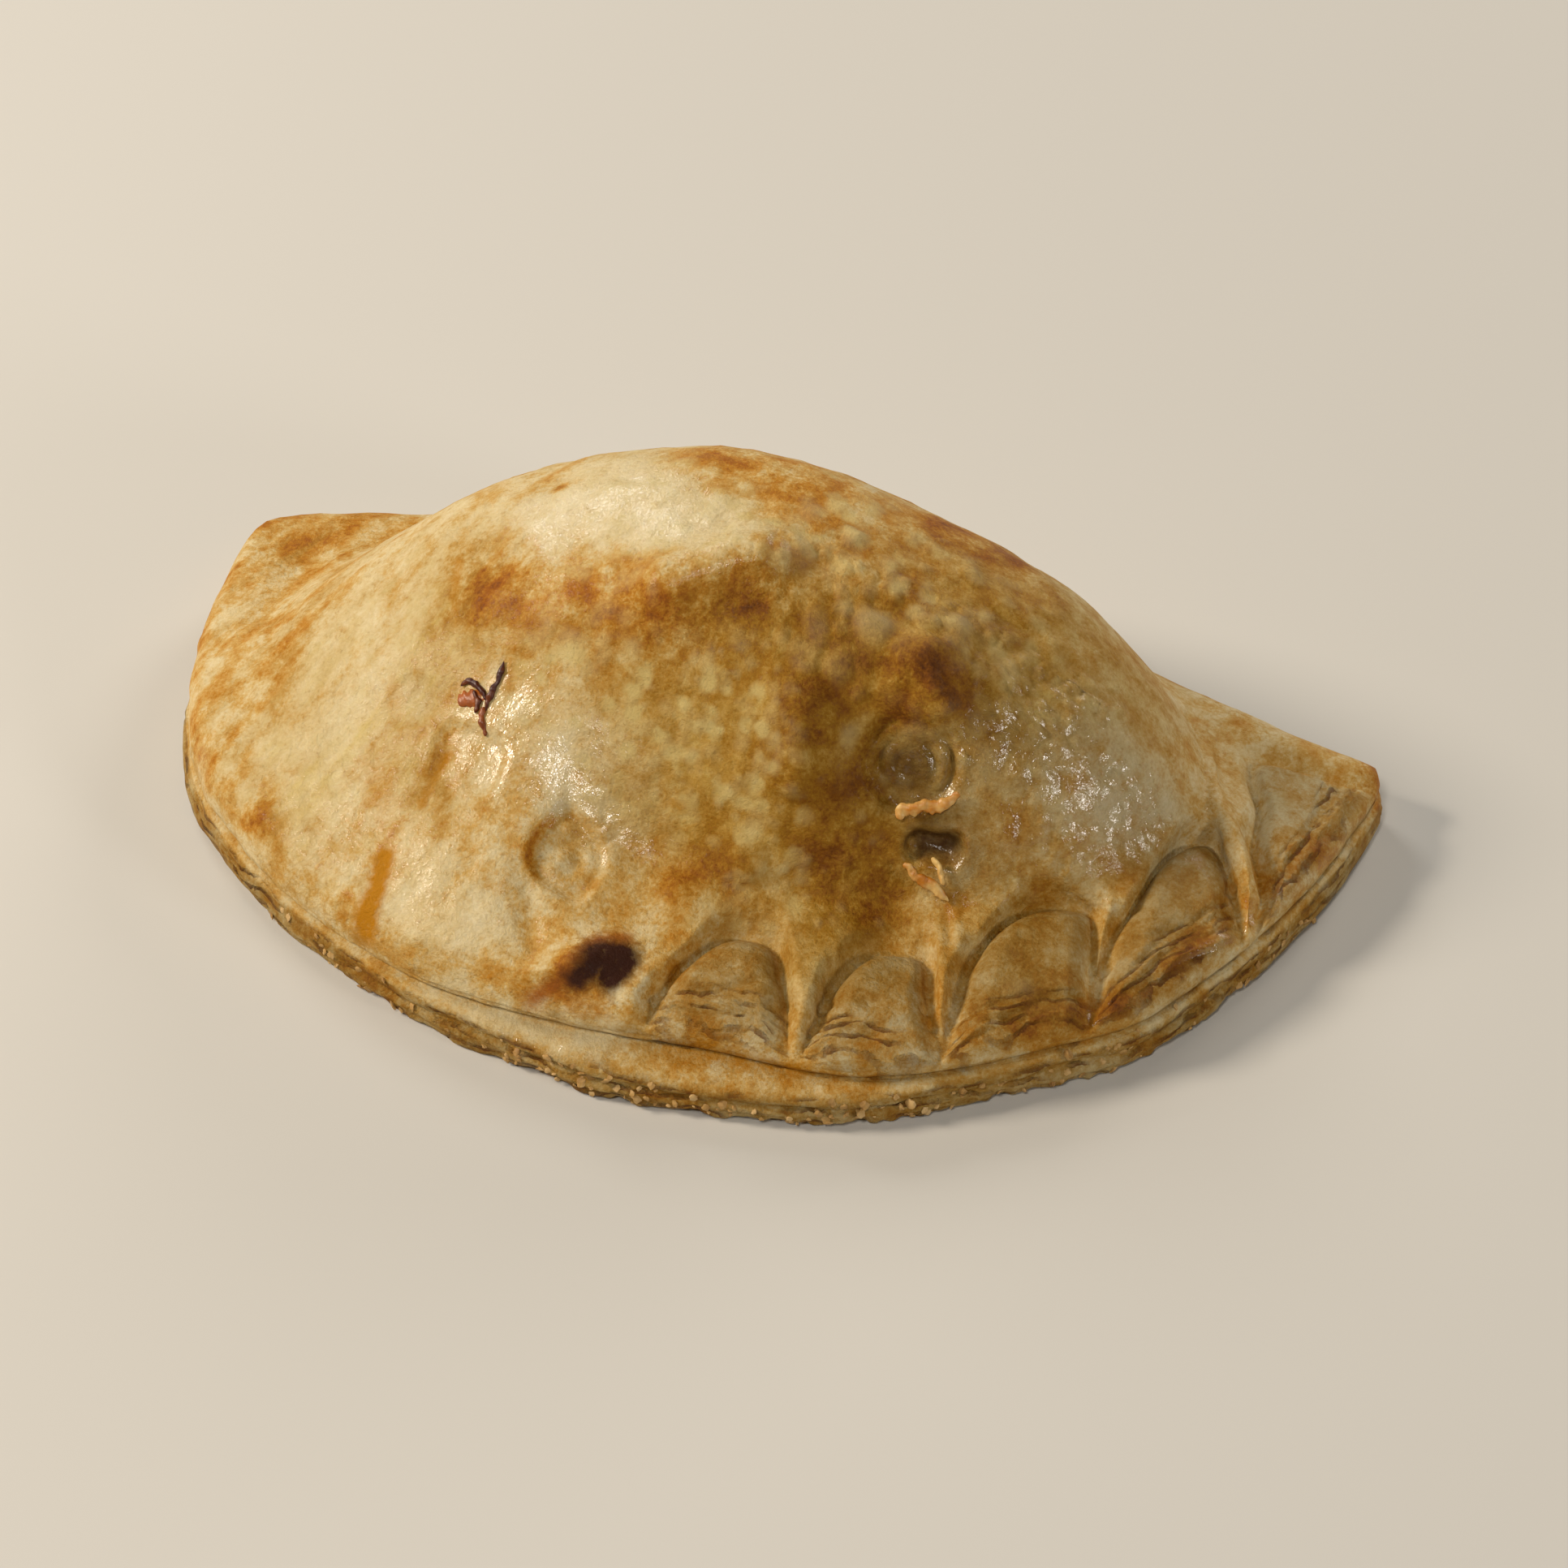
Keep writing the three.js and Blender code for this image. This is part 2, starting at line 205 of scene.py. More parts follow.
# Round marks left in the crust: place in plan, radius, depth, and the spacing and height of their rings
Stamp = namedtuple("Stamp", "at radius depth ring ring_rise")
STAMP_EDGE = (1.06, 0.8)
STAMP_UNEVEN = 0.24
STAMP_SEED = 73
STAMP_TOAST = 0.22
STAMP_TOAST_LEFT = (0.2, -0.8)
STAMP_TOAST_AT = 0.95
STAMP_TOAST_WIDE = 0.16
RING_GAPS = (-0.6, 0.4)
RING_GAP_SIZE = 3.0
RING_SEED = 71
STAMPS = (
    Stamp((-23.9, -47.6), 5.0, 0.5, 5.0, 0.05),
    Stamp((-10.2, -53.5), 4.6, 1.0, 3.0, 0.14),
    Stamp((24.5, -38.2), 6.0, 0.9, 2.1, 0.36),
    Stamp((-33.1, -41.3), 3.6, 0.22, 3.4, 0.05),
)

# Fineness of the dressed crust: columns round the front, with a coarser one at the back for every few of
# them, rows up the rim and over the top, and how much closer both lie at the pressed edge
FRONT_COLUMNS = 480
COARSER = 4
RIM_ROWS = 36
TOP_ROWS = 124
COLUMN_CROWD = 0.8
COLUMN_CROWD_FROM = (0.38, 0.55)
ROW_CROWD = 0.4
SPINE_HALF = 40.0
SPINE_X = -1.0
SPINE_Y = -22.0
COLUMN_TRIALS = 2001
ROW_TRIALS = 161
RIM_HALVINGS = 45

# Where the parts of the crust start and end: millimetres inside a press, in from the lip or the fold, up from
# the base, or in plan; the front edge in degrees
FRONT_EDGE_START = (236.0, 250.0)
FRONT_EDGE_END = (344.0, 326.0)
PRESSED_FROM = (-0.5, 1.5)
PRESSED_CLEAR = (2.0, 6.0)
SIDE_FROM = (0.8, -0.4)
SIDE_BASE = (0.0, 0.4)
GROUNDED_FROM = (0.05, 0.6)
FLANK_FROM = (-12.0, -30.0)
BEHIND_FROM = (-16.0, 4.0)
BEHIND_CLEAR = (30.0, 12.0)
CUT_SIDE_FROM = (LEDGE_TOP, LEDGE_TOP - 1.2)
# A thin painted shadow along the seam under the lip: its height and half width
SEAM_SHADOW_HEIGHT = LEDGE_TOP + 0.5
SEAM_SHADOW_WIDE = 0.45

# Fine texture of the crust: random unevenness as size, height and seed, and the share of it in the presses
LUMPS = ((9.0, 0.30, 3), (4.0, 0.16, 7), (1.8, 0.12, 11))
PUFFS = ((3.6, 0.45, 13), (1.5, 0.34, 15))
STREAK_LONG = 14.0
STREAK_WIDE = 2.2
STREAK_TURN = 62.0
STREAK_RISE = 0.16
STREAK_SEED = 5
FIBRE_WIDE = 1.2
FIBRE_SEED = 6
PRESSED_TEXTURE = 0.5

# Baked layers that show as thin steps along the pressed edge and the side of the rim
LAYER_STEP = 2.3
LAYER_RISE = 0.9
LAYER_SEED = 21
THIN_STEP = 0.9
THIN_RISE = 0.3
THIN_SEED = 27
LAYER_WAVE = (8.0, 3.0)
LAYER_WANDER = 1.4
LAYER_TEAR = (5.0, 1.5)
LAYER_BROKEN = (-0.5, 0.3)
LAYER_CLIFF = (0.0, 0.3)
SHELF_REACH = 4.6
SHELF_WANDER = 1.2
SHELF_LONG = 9.0
SHELF_SEED = 23
SHELF_EDGE = 0.5
SHELF_DROP = 0.6
SHELF_FADE = (0.0, 1.2)
SIDE_STEP = 0.9
SIDE_RISE = 0.4
SIDE_SEED = 31
SPLIT_HEIGHT = 2.9
SPLIT_WANDER = 0.5
SPLIT_LONG = 0.5
SPLIT_SEED = 25
SPLIT_WIDE = 0.45
SPLIT_DEPTH = 0.6
RAGGED_FROM = (2.4, 0.7)
RAGGED_BASE = (0.0, 0.15)
RAGGED_SIZE = (2.2, 1.4)
RAGGED_SEED = 41
RAGGED_OUT = 0.7

# Browning, from 0 for raw cream to 1 for dark brown: everywhere, and what each part of the crust adds or
# has. The side of the rim is made browner partly as painted shade.
EVEN_BROWN = 0.30
PRESSED_BROWN = -0.02
BEHIND_BROWN = 0.14
BEHIND_PATCH = (-0.5, 0.5)
PATCH_BROWN = 0.06
PATCH_SIZE = 13.0
PATCH_SEED = 51
LIP_BROWN = 0.08
LIP_BROWN_AT = 0.6
LIP_BROWN_WIDE = 1.6
LIP_BROWN_START = (188.0, 200.0)
LIP_BROWN_END = (352.0, 340.0)
STREAK_BROWN = 0.12
FIBRE_BROWN = 0.14
STEP_BROWN = 0.16
STEP_DEEP = (0.05, -0.2)
CUT_BROWN_AND_SHADE = 0.42
CUT_STEP_BROWN = 0.25
BASE_BROWN = 0.55
BASE_BROWN_TO = (0.0, 0.3)

# Shares of fat, wash, painted shade and reddish layers that whole parts of the crust have, and how
# toasted the crust may be before pale spots, mottles and wash fade out. The presses and the side of the
# rim get painted shade, and a thin painted shadow runs along the seam under the lip.
SOAKED = 0.25
SOAKED_FROM = (-0.2, 0.6)
SOAKED_SIZE = 9.0
SOAKED_SEED = 61
# The side of the rim takes fat colour partly as painted shade
CUT_BUTTER_AND_SHADE = 0.5
FIBRE_BUTTER = 0.4
FIBRE_BUTTER_FROM = (0.0, 0.6)
THIN_WASH = 0.12
PRESSED_DULL = 0.6
PRESS_AND_RIM_SHADE = 0.30
SEAM_SHADOW = 0.5
STEP_LAYERS = 0.35
PALE_CLEAR = (0.34, 0.16)
WASH_CLEAR = (0.4, 0.1)
MOTTLE_CLEAR = (0.24, 0.08)

# Random cells: factors that stir their numbers, the bits kept, and the shift between one seed's cells and the
# next; how much smaller and lower each further layer of hills is, and about how high they add up to
STIR_CELL = (73856093, 19349663, 83492791)
STIR_SEED = 2971215073
STIR_FACTORS = (0xFF51AFD7ED558CCD, 0xC4CEB9FE1A85EC53)
STIR_SHIFT = 33
STIR_BITS = 24
SEED_SHIFT = 17.31
HILL_SHRINK = 2.03
HILL_FADE = 0.5
HILL_SUM = 1.6
SEED = 20

# Strips torn up beside the vent and the burst bit of filling: places in the picture's pixels, how far
# their middle lies over the crust, half width, half thickness and how charred they are
Strand = namedtuple("Strand", "path lift wide thick char")
VENT_FLAKES = (
    Strand(((1108, 1008), (1112, 998), (1135, 992), (1158, 990), (1180, 976)), 0.7, 0.8, 0.36, 0.2),
    Strand(((1114, 1062), (1128, 1078), (1146, 1090), (1168, 1110)), 0.5, 0.6, 0.34, 0.25),
    Strand(((1148, 1056), (1158, 1072), (1162, 1090)), 0.3, 0.4, 0.35, 0.0),
)
FILLING_BITS = (
    Strand(((623, 816), (616, 838), (606, 858), (599, 878)), 0.4, 0.34, 0.30, 1.0),
    Strand(((570, 846), (580, 841), (592, 848), (603, 866)), 0.4, 0.30, 0.28, 0.95),
    Strand(((566, 868), (576, 862), (590, 860), (600, 864)), 0.2, 0.95, 0.30, 0.45),
    Strand(((598, 872), (595, 888), (600, 908)), 0.45, 0.4, 0.26, 0.7),
    Strand(((586, 852), (591, 866), (588, 880)), 0.5, 0.3, 0.3, 0.9),
)
STRAND_SIDES = 14
STRAND_RINGS = 40
STRAND_TAPER = 0.75
STRAND_SEED = 80
STRAND_UNEVEN = ((0.5, 1.0), (0.45, 0.45))
CHAR_UNEVEN = 0.3
CHAR_SIZE = 1.5
CHAR_SEED = 90

# Crumbs and flakes along the broken edge of the lower sheet: radius in millimetres, number a square
# centimetre, flatness and tilt. CRUMB_PLACES are the larger crumbs that hang on the edge, in pixels.
CRUMB_RADIUS = (0.10, 0.40)
CRUMB_DENSITY = 20.0
CRUMB_FLATNESS = 0.6
BIG_CRUMB = 1.9
CRUMB_PLACES = (
    (1008, 1372), (1024, 1375), (1043, 1373), (1060, 1371), (1110, 1364), (1122, 1360), (1175, 1347),
    (1186, 1344), (1210, 1338), (1316, 1300), (1366, 1292), (1402, 1270), (1449, 1241), (905, 1365),
    (855, 1352),
)
FLAKE_RADIUS = (0.25, 0.6)
FLAKE_DENSITY = 14.0
FLAKE_FLATNESS = 0.4
FLAKE_TILT = 25.0
CRUMB_BAND = (0.55, 2.3)
FLAKE_BAND = (0.4, 4.2)
BAND_ANGLES = (232.0, 342.0)
BIT_FACETS = 2
BIT_DENT = 1.6
BIT_DENT_SCALE = 1.1

# Marks on the crust: places in the picture's pixels, half width in millimetres, and amount
Touch = namedtuple("Touch", "path wide amount")

TOASTED_AND_SHADED = (
    Touch(((600, 728), (700, 738), (790, 748), (860, 752), (925, 742)), 6.0, 0.26),
    Touch(((610, 740), (650, 715)), 4.0, 0.10),
    Touch(((830, 765), (900, 745), (930, 735)), 4.0, 0.07),
    Touch(((900, 585), (960, 600)), 6.0, 0.22),
    Touch(((850, 565), (940, 562)), 3.0, 0.12),
    Touch(((1160, 648), (1235, 685)), 4.5, 0.26),
    Touch(((1325, 738), (1390, 800)), 4.5, 0.24),
    Touch(((1148, 828), (1166, 846)), 4.0, 0.24),
    Touch(((1040, 800), (1060, 810)), 5.0, 0.14),
    # Painted shade: the valley beside the vent
    Touch(((1040, 1060), (1070, 1110)), 6.0, 0.30),
    Touch(((1090, 880), (1060, 960)), 6.0, 0.12),
    Touch(((985, 870), (990, 950)), 3.6, 0.20),
    Touch(((830, 1080), (880, 1080)), 4.0, 0.22),
    Touch(((345, 765), (310, 840)), 4.0, 0.06),
    Touch(((330, 690), (420, 680)), 6.0, 0.06),
    Touch(((300, 900), (320, 1000), (400, 1110), (520, 1180), (640, 1240)), 2.4, 0.05),
    Touch(((320, 1010), (345, 1020)), 2.0, 0.14),
    Touch(((830, 1305), (950, 1318), (1060, 1330)), 2.6, 0.14),
    Touch(((330, 1100), (480, 1210), (640, 1275), (760, 1300)), 2.6, 0.04),
    # Painted shade: browner on the second press
    Touch(((1040, 1240), (1130, 1250)), 4.0, 0.10),
    # Painted shade: browner on the third press
    Touch(((1250, 1130), (1270, 1200)), 7.0, 0.14),
    # Painted shade: the slope right of the crown
    Touch(((1060, 690), (1190, 740), (1060, 820)), 11.0, 0.12),
    # Painted shade: browner on the first press
    Touch(((840, 1200), (930, 1200)), 5.0, 0.08),
    Touch(((1200, 1262), (1290, 1265), (1335, 1245)), 2.6, 0.16),
    Touch(((1375, 1230), (1440, 1190), (1510, 1125)), 1.8, 0.26),
    Touch(((1560, 1090), (1640, 1010)), 3.0, 0.12),
    Touch(((1690, 950), (1697, 990)), 2.4, 0.28),
    Touch(((1400, 1110), (1480, 1060)), 4.5, 0.10),
    Touch(((700, 1195), (740, 1165)), 2.0, 0.30),
    Touch(((690, 600),), 1.0, 0.35),
    Touch(((700, 1048),), 4.0, 0.06),
)
PALED = (
    Touch(((690, 650), (780, 600), (870, 640)), 8.0, 0.24),
    Touch(((560, 640), (500, 740), (440, 880)), 7.0, 0.08),
    Touch(((480, 760), (430, 830)), 6.0, 0.06),
    Touch(((420, 950), (390, 1060)), 8.0, 0.12),
    Touch(((500, 1120), (560, 1160)), 6.0, 0.10),
    Touch(((560, 1245), (720, 1288)), 3.0, 0.14),
    Touch(((690, 930), (740, 1000)), 6.0, 0.10),
    Touch(((1330, 900), (1400, 1000)), 7.0, 0.08),
)
BUTTERED_AND_SHADED = (
    Touch(((800, 860), (850, 940), (860, 1010)), 9.0, 0.85),
    Touch(((960, 830), (980, 980)), 8.0, 0.7),
    # Painted shade: the slope right of the crown
    Touch(((1050, 800), (1200, 740)), 11.0, 0.85),
    Touch(((560, 700), (545, 800), (520, 960)), 6.0, 0.5),
    Touch(((400, 900), (380, 1060)), 8.0, 0.2),
    # Painted shade: the right flank
    Touch(((1350, 780), (1400, 850)), 9.0, 0.45),
    # Painted shade: the first and second presses
    Touch(((880, 1200), (1070, 1200)), 6.0, 0.4),
    # Painted shade: the third press
    Touch(((1250, 1130), (1270, 1210)), 7.0, 0.4),
    Touch(((1150, 830), (1060, 1080)), 9.0, 0.5),
    Touch(((890, 745),), 4.0, 0.4),
    # Painted shade: the valley beside the vent
    Touch(((1080, 1000), (1060, 1080)), 8.0, 0.7),
    # Painted shade: the right flank
    Touch(((1250, 900), (1280, 860)), 8.0, 0.5),
    # Painted shade: the third and fourth presses
    Touch(((1260, 1160), (1440, 1100)), 9.0, 0.35),
)
RUSSET = (
    Touch(((650, 1236), (685, 1212), (708, 1184), (732, 1160), (768, 1158)), 1.2, 0.9),
    Touch(((700, 1235), (740, 1240)), 1.6, 0.35),
    Touch(((1690, 945), (1698, 990)), 1.6, 0.4),
    Touch(((1340, 1240), (1500, 1150), (1640, 1030)), 0.8, 0.35),
)
MOTTLED = (
    Touch(((700, 800), (790, 800), (880, 850)), 9.0, 0.45),
    Touch(((780, 900), (900, 960), (960, 1050)), 11.0, 0.55),
    Touch(((1000, 660), (1080, 760), (1060, 860)), 12.0, 0.5),
    Touch(((1200, 760), (1280, 840)), 11.0, 0.35),
    Touch(((820, 600), (960, 620)), 11.0, 0.4),
    Touch(((500, 760), (420, 900), (400, 1040)), 14.0, 0.25),
    Touch(((1240, 1150), (1270, 1220)), 8.0, 0.25),
)
OILED = (
    Touch(((474, 1056), (462, 1100), (450, 1150)), 1.1, 1.6),
    Touch(((447, 1130), (445, 1155)), 1.8, 0.6),
    Touch(((566, 695), (563, 770)), 0.8, 0.6),
    Touch(((520, 990), (538, 950), (553, 928)), 0.6, 0.8),
    Touch(((455, 940), (470, 1000)), 2.6, 0.30),
    Touch(((830, 1290), (1000, 1318)), 1.6, 0.35),
    Touch(((490, 880), (480, 840)), 1.2, 0.30),
    Touch(((830, 985), (840, 1000)), 1.2, 0.25),
)
GLAZED = (
    Touch(((690, 650), (780, 600), (870, 640)), 9.0, 0.6),
    Touch(((500, 800), (480, 900), (430, 1010)), 8.0, 0.15),
    Touch(((640, 900), (700, 940), (770, 990)), 6.5, 1.0),
    Touch(((560, 930), (600, 1000)), 5.0, 0.1),
    Touch(((520, 1080), (600, 1140), (680, 1120)), 6.0, 0.3),
    Touch(((1270, 930), (1340, 950), (1400, 1010)), 8.0, 1.0),
    Touch(((1200, 1050), (1260, 1010)), 7.0, 0.6),
    Touch(((1120, 950), (1200, 950)), 5.0, 0.5),
    Touch(((830, 720), (935, 690)), 3.0, 0.25),
    Touch(((620, 1268), (760, 1292)), 2.4, 0.8),
    Touch(((250, 930), (262, 1000)), 2.0, 0.6),
    Touch(((1345, 1255), (1480, 1180), (1600, 1090), (1685, 1000)), 1.3, 0.9),
    Touch(((340, 1000), (420, 1040)), 5.0, 0.12),
)
# The first touch darkens the rolled flap by the lip: partly scorch, partly painted shade on its far side
SCORCHED_AND_SHADED = (
    Touch(((712, 1204), (736, 1172), (768, 1180), (752, 1202)), 1.9, 1.15),
    Touch(((690, 600),), 0.7, 0.3),
)
# Greyer, darker dough in places; the touches at the third stamp, in the vent hollow and over the right
# shoulder are painted shade
DAMP_AND_SHADE = (
    Touch(((590, 950), (600, 970)), 3.2, 0.05),
    Touch(((1120, 945),), 4.4, 0.7),
    Touch(((515, 858),), 2.6, 0.10),
    Touch(((1150, 1020), (1190, 1060)), 3.5, 0.4),
    Touch(((1270, 930), (1340, 950), (1400, 1010)), 8.0, 0.28),
)

# Narrow folds, cracks and pits, with the height in millimetres as amount
RAISED = (
    Touch(((1150, 1095), (1158, 1150), (1160, 1230)), 0.9, 0.35),
    Touch(((1174, 1108), (1181, 1165)), 0.7, 0.3),
    Touch(((1164, 1110), (1170, 1160)), 0.5, -0.3),
    Touch(((1240, 1252), (1262, 1252)), 0.6, -0.6),
    Touch(((1261, 1088), (1300, 1098), (1344, 1120)), 0.5, -0.6),
    Touch(((1350, 1200), (1430, 1150), (1520, 1095)), 0.6, -0.5),
    Touch(((830, 1214), (880, 1222), (935, 1206)), 0.5, -0.5),
    Touch(((822, 1246), (890, 1252), (950, 1240)), 0.5, -0.45),
    Touch(((860, 1183), (905, 1190)), 0.5, -0.3),
    Touch(((1010, 1243), (1070, 1236), (1140, 1246)), 0.5, -0.55),
    Touch(((1000, 1272), (1075, 1276), (1150, 1268)), 0.5, -0.5),
    Touch(((1480, 880), (1500, 1000), (1545, 1110)), 0.9, 0.6),
    Touch(((1466, 890), (1486, 1000)), 0.7, -0.4),
    Touch(((1535, 1100), (1546, 1140)), 0.6, -0.6),
    Touch(((400, 690), (330, 790)), 1.0, -0.35),
    Touch(((650, 1100), (658, 1165)), 1.0, -0.3),
    Touch(((527, 985), (535, 955), (553, 930)), 0.7, -0.3),
    Touch(((1000, 862), (1005, 940)), 1.0, -0.25),
    Touch(((1128, 800), (1170, 806)), 0.9, 0.35),
    Touch(((800, 735), (860, 705), (930, 688)), 1.2, 0.35),
    Touch(((1560, 880), (1610, 1010)), 0.8, -0.3),
    Touch(((1610, 930), (1650, 1000)), 0.8, 0.25),
)
PUFFED = (
    Touch(((1000, 690), (1120, 730), (1200, 780)), 9.0, 0.9),
    Touch(((1290, 800), (1360, 860)), 8.0, 0.6),
    Touch(((1290, 940), (1360, 990), (1300, 1040)), 8.0, 0.8),
    Touch(((640, 900), (740, 990)), 7.0, 0.5),
    Touch(((860, 880), (940, 1000)), 9.0, 0.35),
    Touch(((700, 1045),), 4.0, 0.9),
    Touch(((850, 620), (960, 640)), 7.0, 0.4),
)

# Fields of blisters: middle in pixels, reach, count, least and greatest radius, height and paleness
Blisters = namedtuple("Blisters", "middle reach count least most rise pale")
BLISTER_FIELDS = (
    Blisters((1090, 730), 13.0, 70, 0.6, 1.5, 0.42, 0.26),
    Blisters((1170, 830), 10.0, 30, 0.6, 1.4, 0.40, 0.2),
    Blisters((1290, 800), 11.0, 60, 0.4, 0.9, 0.28, 0.2),
    Blisters((745, 775), 9.0, 24, 0.7, 1.4, 0.05, 0.4),
    Blisters((880, 890), 11.0, 90, 0.4, 1.0, 0.14, 0.3),
    Blisters((850, 620), 11.0, 22, 0.9, 2.0, 0.26, 0.3),
    Blisters((1010, 620), 9.0, 20, 0.6, 1.4, 0.28, 0.3),
    Blisters((1000, 1040), 12.0, 40, 0.4, 0.9, 0.14, 0.24),
)
# Single blisters: place in pixels, radius, height and paleness
Blister = namedtuple("Blister", "at radius rise pale")
BLISTER_SPOTS = (
    Blister((750, 750), 1.5, 0.05, 0.8),
    Blister((705, 798), 2.1, 0.05, 0.75),
    Blister((778, 802), 1.7, 0.05, 0.7),
    Blister((660, 790), 1.4, 0.03, 0.6),
    Blister((960, 690), 1.4, 0.6, 0.8),
    Blister((987, 678), 1.1, 0.5, 0.8),
    Blister((1050, 668), 1.5, 0.6, 0.8),
    Blister((1072, 775), 2.4, 0.7, 0.85),
    Blister((1035, 822), 2.0, 0.6, 0.85),
    Blister((1180, 772), 1.8, 0.6, 0.8),
    Blister((1240, 830), 2.0, 0.1, 0.8),
    Blister((1055, 910), 1.9, 0.1, 0.7),
    Blister((1212, 950), 1.8, 0.1, 0.7),
    Blister((930, 1022), 1.4, 0.05, 0.7),
    Blister((965, 1070), 0.8, 0.1, 0.9),
    Blister((1258, 1217), 1.5, 0.55, 0.35),
    Blister((1578, 988), 1.6, 0.25, 0.4),
    Blister((1604, 960), 1.1, 0.2, 0.3),
)
SPOT_PALE = 0.55
BLISTER_SHARE = (0.5, 1.0)
BLISTER_UNEVEN = 0.5
BLISTER_UNEVEN_SHARE = 0.8
BLISTER_UNEVEN_LEAST = 0.4
BLISTER_DOME = (1.25, 0.3)
BLISTER_PALE = (1.4, 0.35)

# Marks that the crust carries, and the patterns of its material: size in millimetres, detail and roughness.
# ISLAND values are for the pale islands, CRACK values for the broken lines between baked layers.
MARKS = ("brown", "butter_and_shade", "mottle", "pale", "oil", "glaze", "scorch_and_shade", "damp_and_shade", "layers", "flaky", "level")
CRUST_NOISES = {
    "patch": (4.2, 6.0, 0.6),
    "fleck": (1.1, 6.0, 0.7),
    "grain": (0.4, 3.0, 0.65),
    "dimple": (0.5, 2.0, 0.5),
    "bend": (7.0, 2.0, 0.5),
    "tear": (4.0, 3.0, 0.5),
}
ISLAND_SIZE = 3.0
ISLAND_SMOOTH = 0.5
ISLAND_EDGE = (0.24, 0.48)
ISLAND_WANDER = 1.8
ISLAND_WANDER_SIZE = 1.6
CRACK_STEP = 1.5
CRACK_BEND = 3.0
CRACK_FLECK = 0.5
CRACK_WIDE = 0.35
CRACK_TEAR = (0.42, 0.56)
CRACK_DARK = 0.7

# How far patch, fleck and grain move the browning, how much more they do so where it is brown, and how far
# the flecks move the edges of the other marks
PATCH_RANGE = (0.36, 0.64)
PATCH_MOVES = 0.18
EDGE_MOVES = (
    ("fleck", "fleck", 0.5), ("grain", "grain", 0.5), ("ragged", "fleck", 0.8), ("soak_and_shade", "fleck", 0.6),
    ("wash", "fleck", 0.9))
UNEVEN_LEAST = 0.22
UNEVEN_BROWN = 1.6
RAGGED_MARKS = ("scorch_and_shade", "oil", "layers")
RAGGED_RANGE = (0.08, 0.95)

# Colours from raw to dark: dry dough, and dough that fat soaked; then the marks laid over them in turn
DRY_BROWNING = (
    (0.0, "#e4d5ae"), (0.22, "#d8c290"), (0.36, "#cba35a"), (0.52, "#bb8022"), (0.72, "#a05c06"),
    (1.0, "#703602"))
SOAKED_BROWNING = (
    (0.0, "#cdb263"), (0.24, "#b58e3e"), (0.46, "#9a6c14"), (0.72, "#7a4602"), (1.0, "#4a2401"))
# The dark tint of the damp mark is laid partly as painted shade
MARK_TINTS = (
    ("mottle", "#c9b271"), ("pale", "#d3c188"), ("damp_and_shade", "#33270f"), ("layers", "#a05a14"),
    ("oil", "#b87a02"), ("scorch_and_shade", "#3a1a0a"), ("crack", "#7a4016"))

# Bumps of the dough and of the wash over it: pattern, depth in millimetres, strength, and whether it is sunk
DOUGH_BUMPS = (
    ("patch", 0.5, 1.0, True), ("grain", 0.13, 0.8, False), ("fleck", 0.38, 1.0, False),
    ("crack", 0.35, 1.0, True))
WASH_BUMPS = (("dimple", 0.085, 1.0, False), ("grain", 0.045, 1.0, False))
DRY_ROUGHNESS = 0.58
WASHED_ROUGHNESS = 0.36
WASH_WEIGHT = 0.85
WASH_SPECKS = (0.46, 0.60)
WASH_SPECK_LEAST = 0.3
DOUGH_IOR = 1.45

# Strips and crumbs: size of their flecks in millimetres, depth of their bumps, how far flecks move the char,
# where between clean and charred the toasted colour lies, and the colours of the crumbs
CAUGHT_FLECK = 0.8
CAUGHT_DENT = 0.15
CAUGHT_MOVES = 0.6
CAUGHT_ROUGHNESS = 0.38
TOASTED_AT = 0.35
CRUMB_BATCH = 2.5
CRUMB_DENT = 0.1
CRUMB_ROUGHNESS = 0.6
CRUMB_BROWNING = ((0.3, "#8a6028"), (0.5, "#b48c4e"), (0.7, "#d0b07a"))

# Soft boxes: direction from the part in the camera's terms, width in metres, power in watts and colour
SoftBox = namedtuple("SoftBox", "name left up toward size power colour")
SOFT_BOXES = (
    SoftBox("key_softbox", 0.79, 0.59, -0.03, 0.24, 6.6, "#fff1de"),
    SoftBox("high_softbox", 0.14, 0.80, 0.56, 0.16, 2.4, "#fffaf2"),
    SoftBox("right_softbox", -0.77, 0.36, 0.52, 0.18, 1.7, "#fdf8f2"),
    SoftBox("window_softbox", 0.40, 0.56, -0.72, 0.30, 2.0, "#fffdf8"),
    SoftBox("back_softbox", -0.55, 0.40, -0.75, 0.35, 2.8, "#fff6ea"),
)
SOFT_BOX_AWAY = 0.9
ROOM_COLOUR = "#f7f1e6"
ROOM_STRENGTH = 0.04
FLOOR_HALF = 2.0


# Small sums

def mix(a, b, share):
    return a + (b - a) * share


def ease(low, high, value):
    t = np.clip((value - low) / (high - low), 0.0, 1.0)
    return t * t * (3 - 2 * t)


def hump(value, middle, spread):
    return np.exp(-(((value - middle) / spread) ** 2))


# The same for angles in degrees, which go round
def turn_hump(angle, middle, spread):
    return hump((angle - middle + 180) % 360 - 180, 0, spread)


def soft_least(a, b, blend):
    reach = 1.5 * blend
    near = np.maximum(1 - np.abs(a - b) / reach, 0.0)
    return np.minimum(a, b) - reach * near ** 3 / 6


def soft_most(a, b, blend):
    return -soft_least(-a, -b, blend)


# Quarter-round from 0 at an edge to 1 at one radius inside it
def edge_round(inset, radius):
    t = 1 - np.clip(inset / radius, 0.0, 1.0)
    return np.sqrt(1 - t * t)


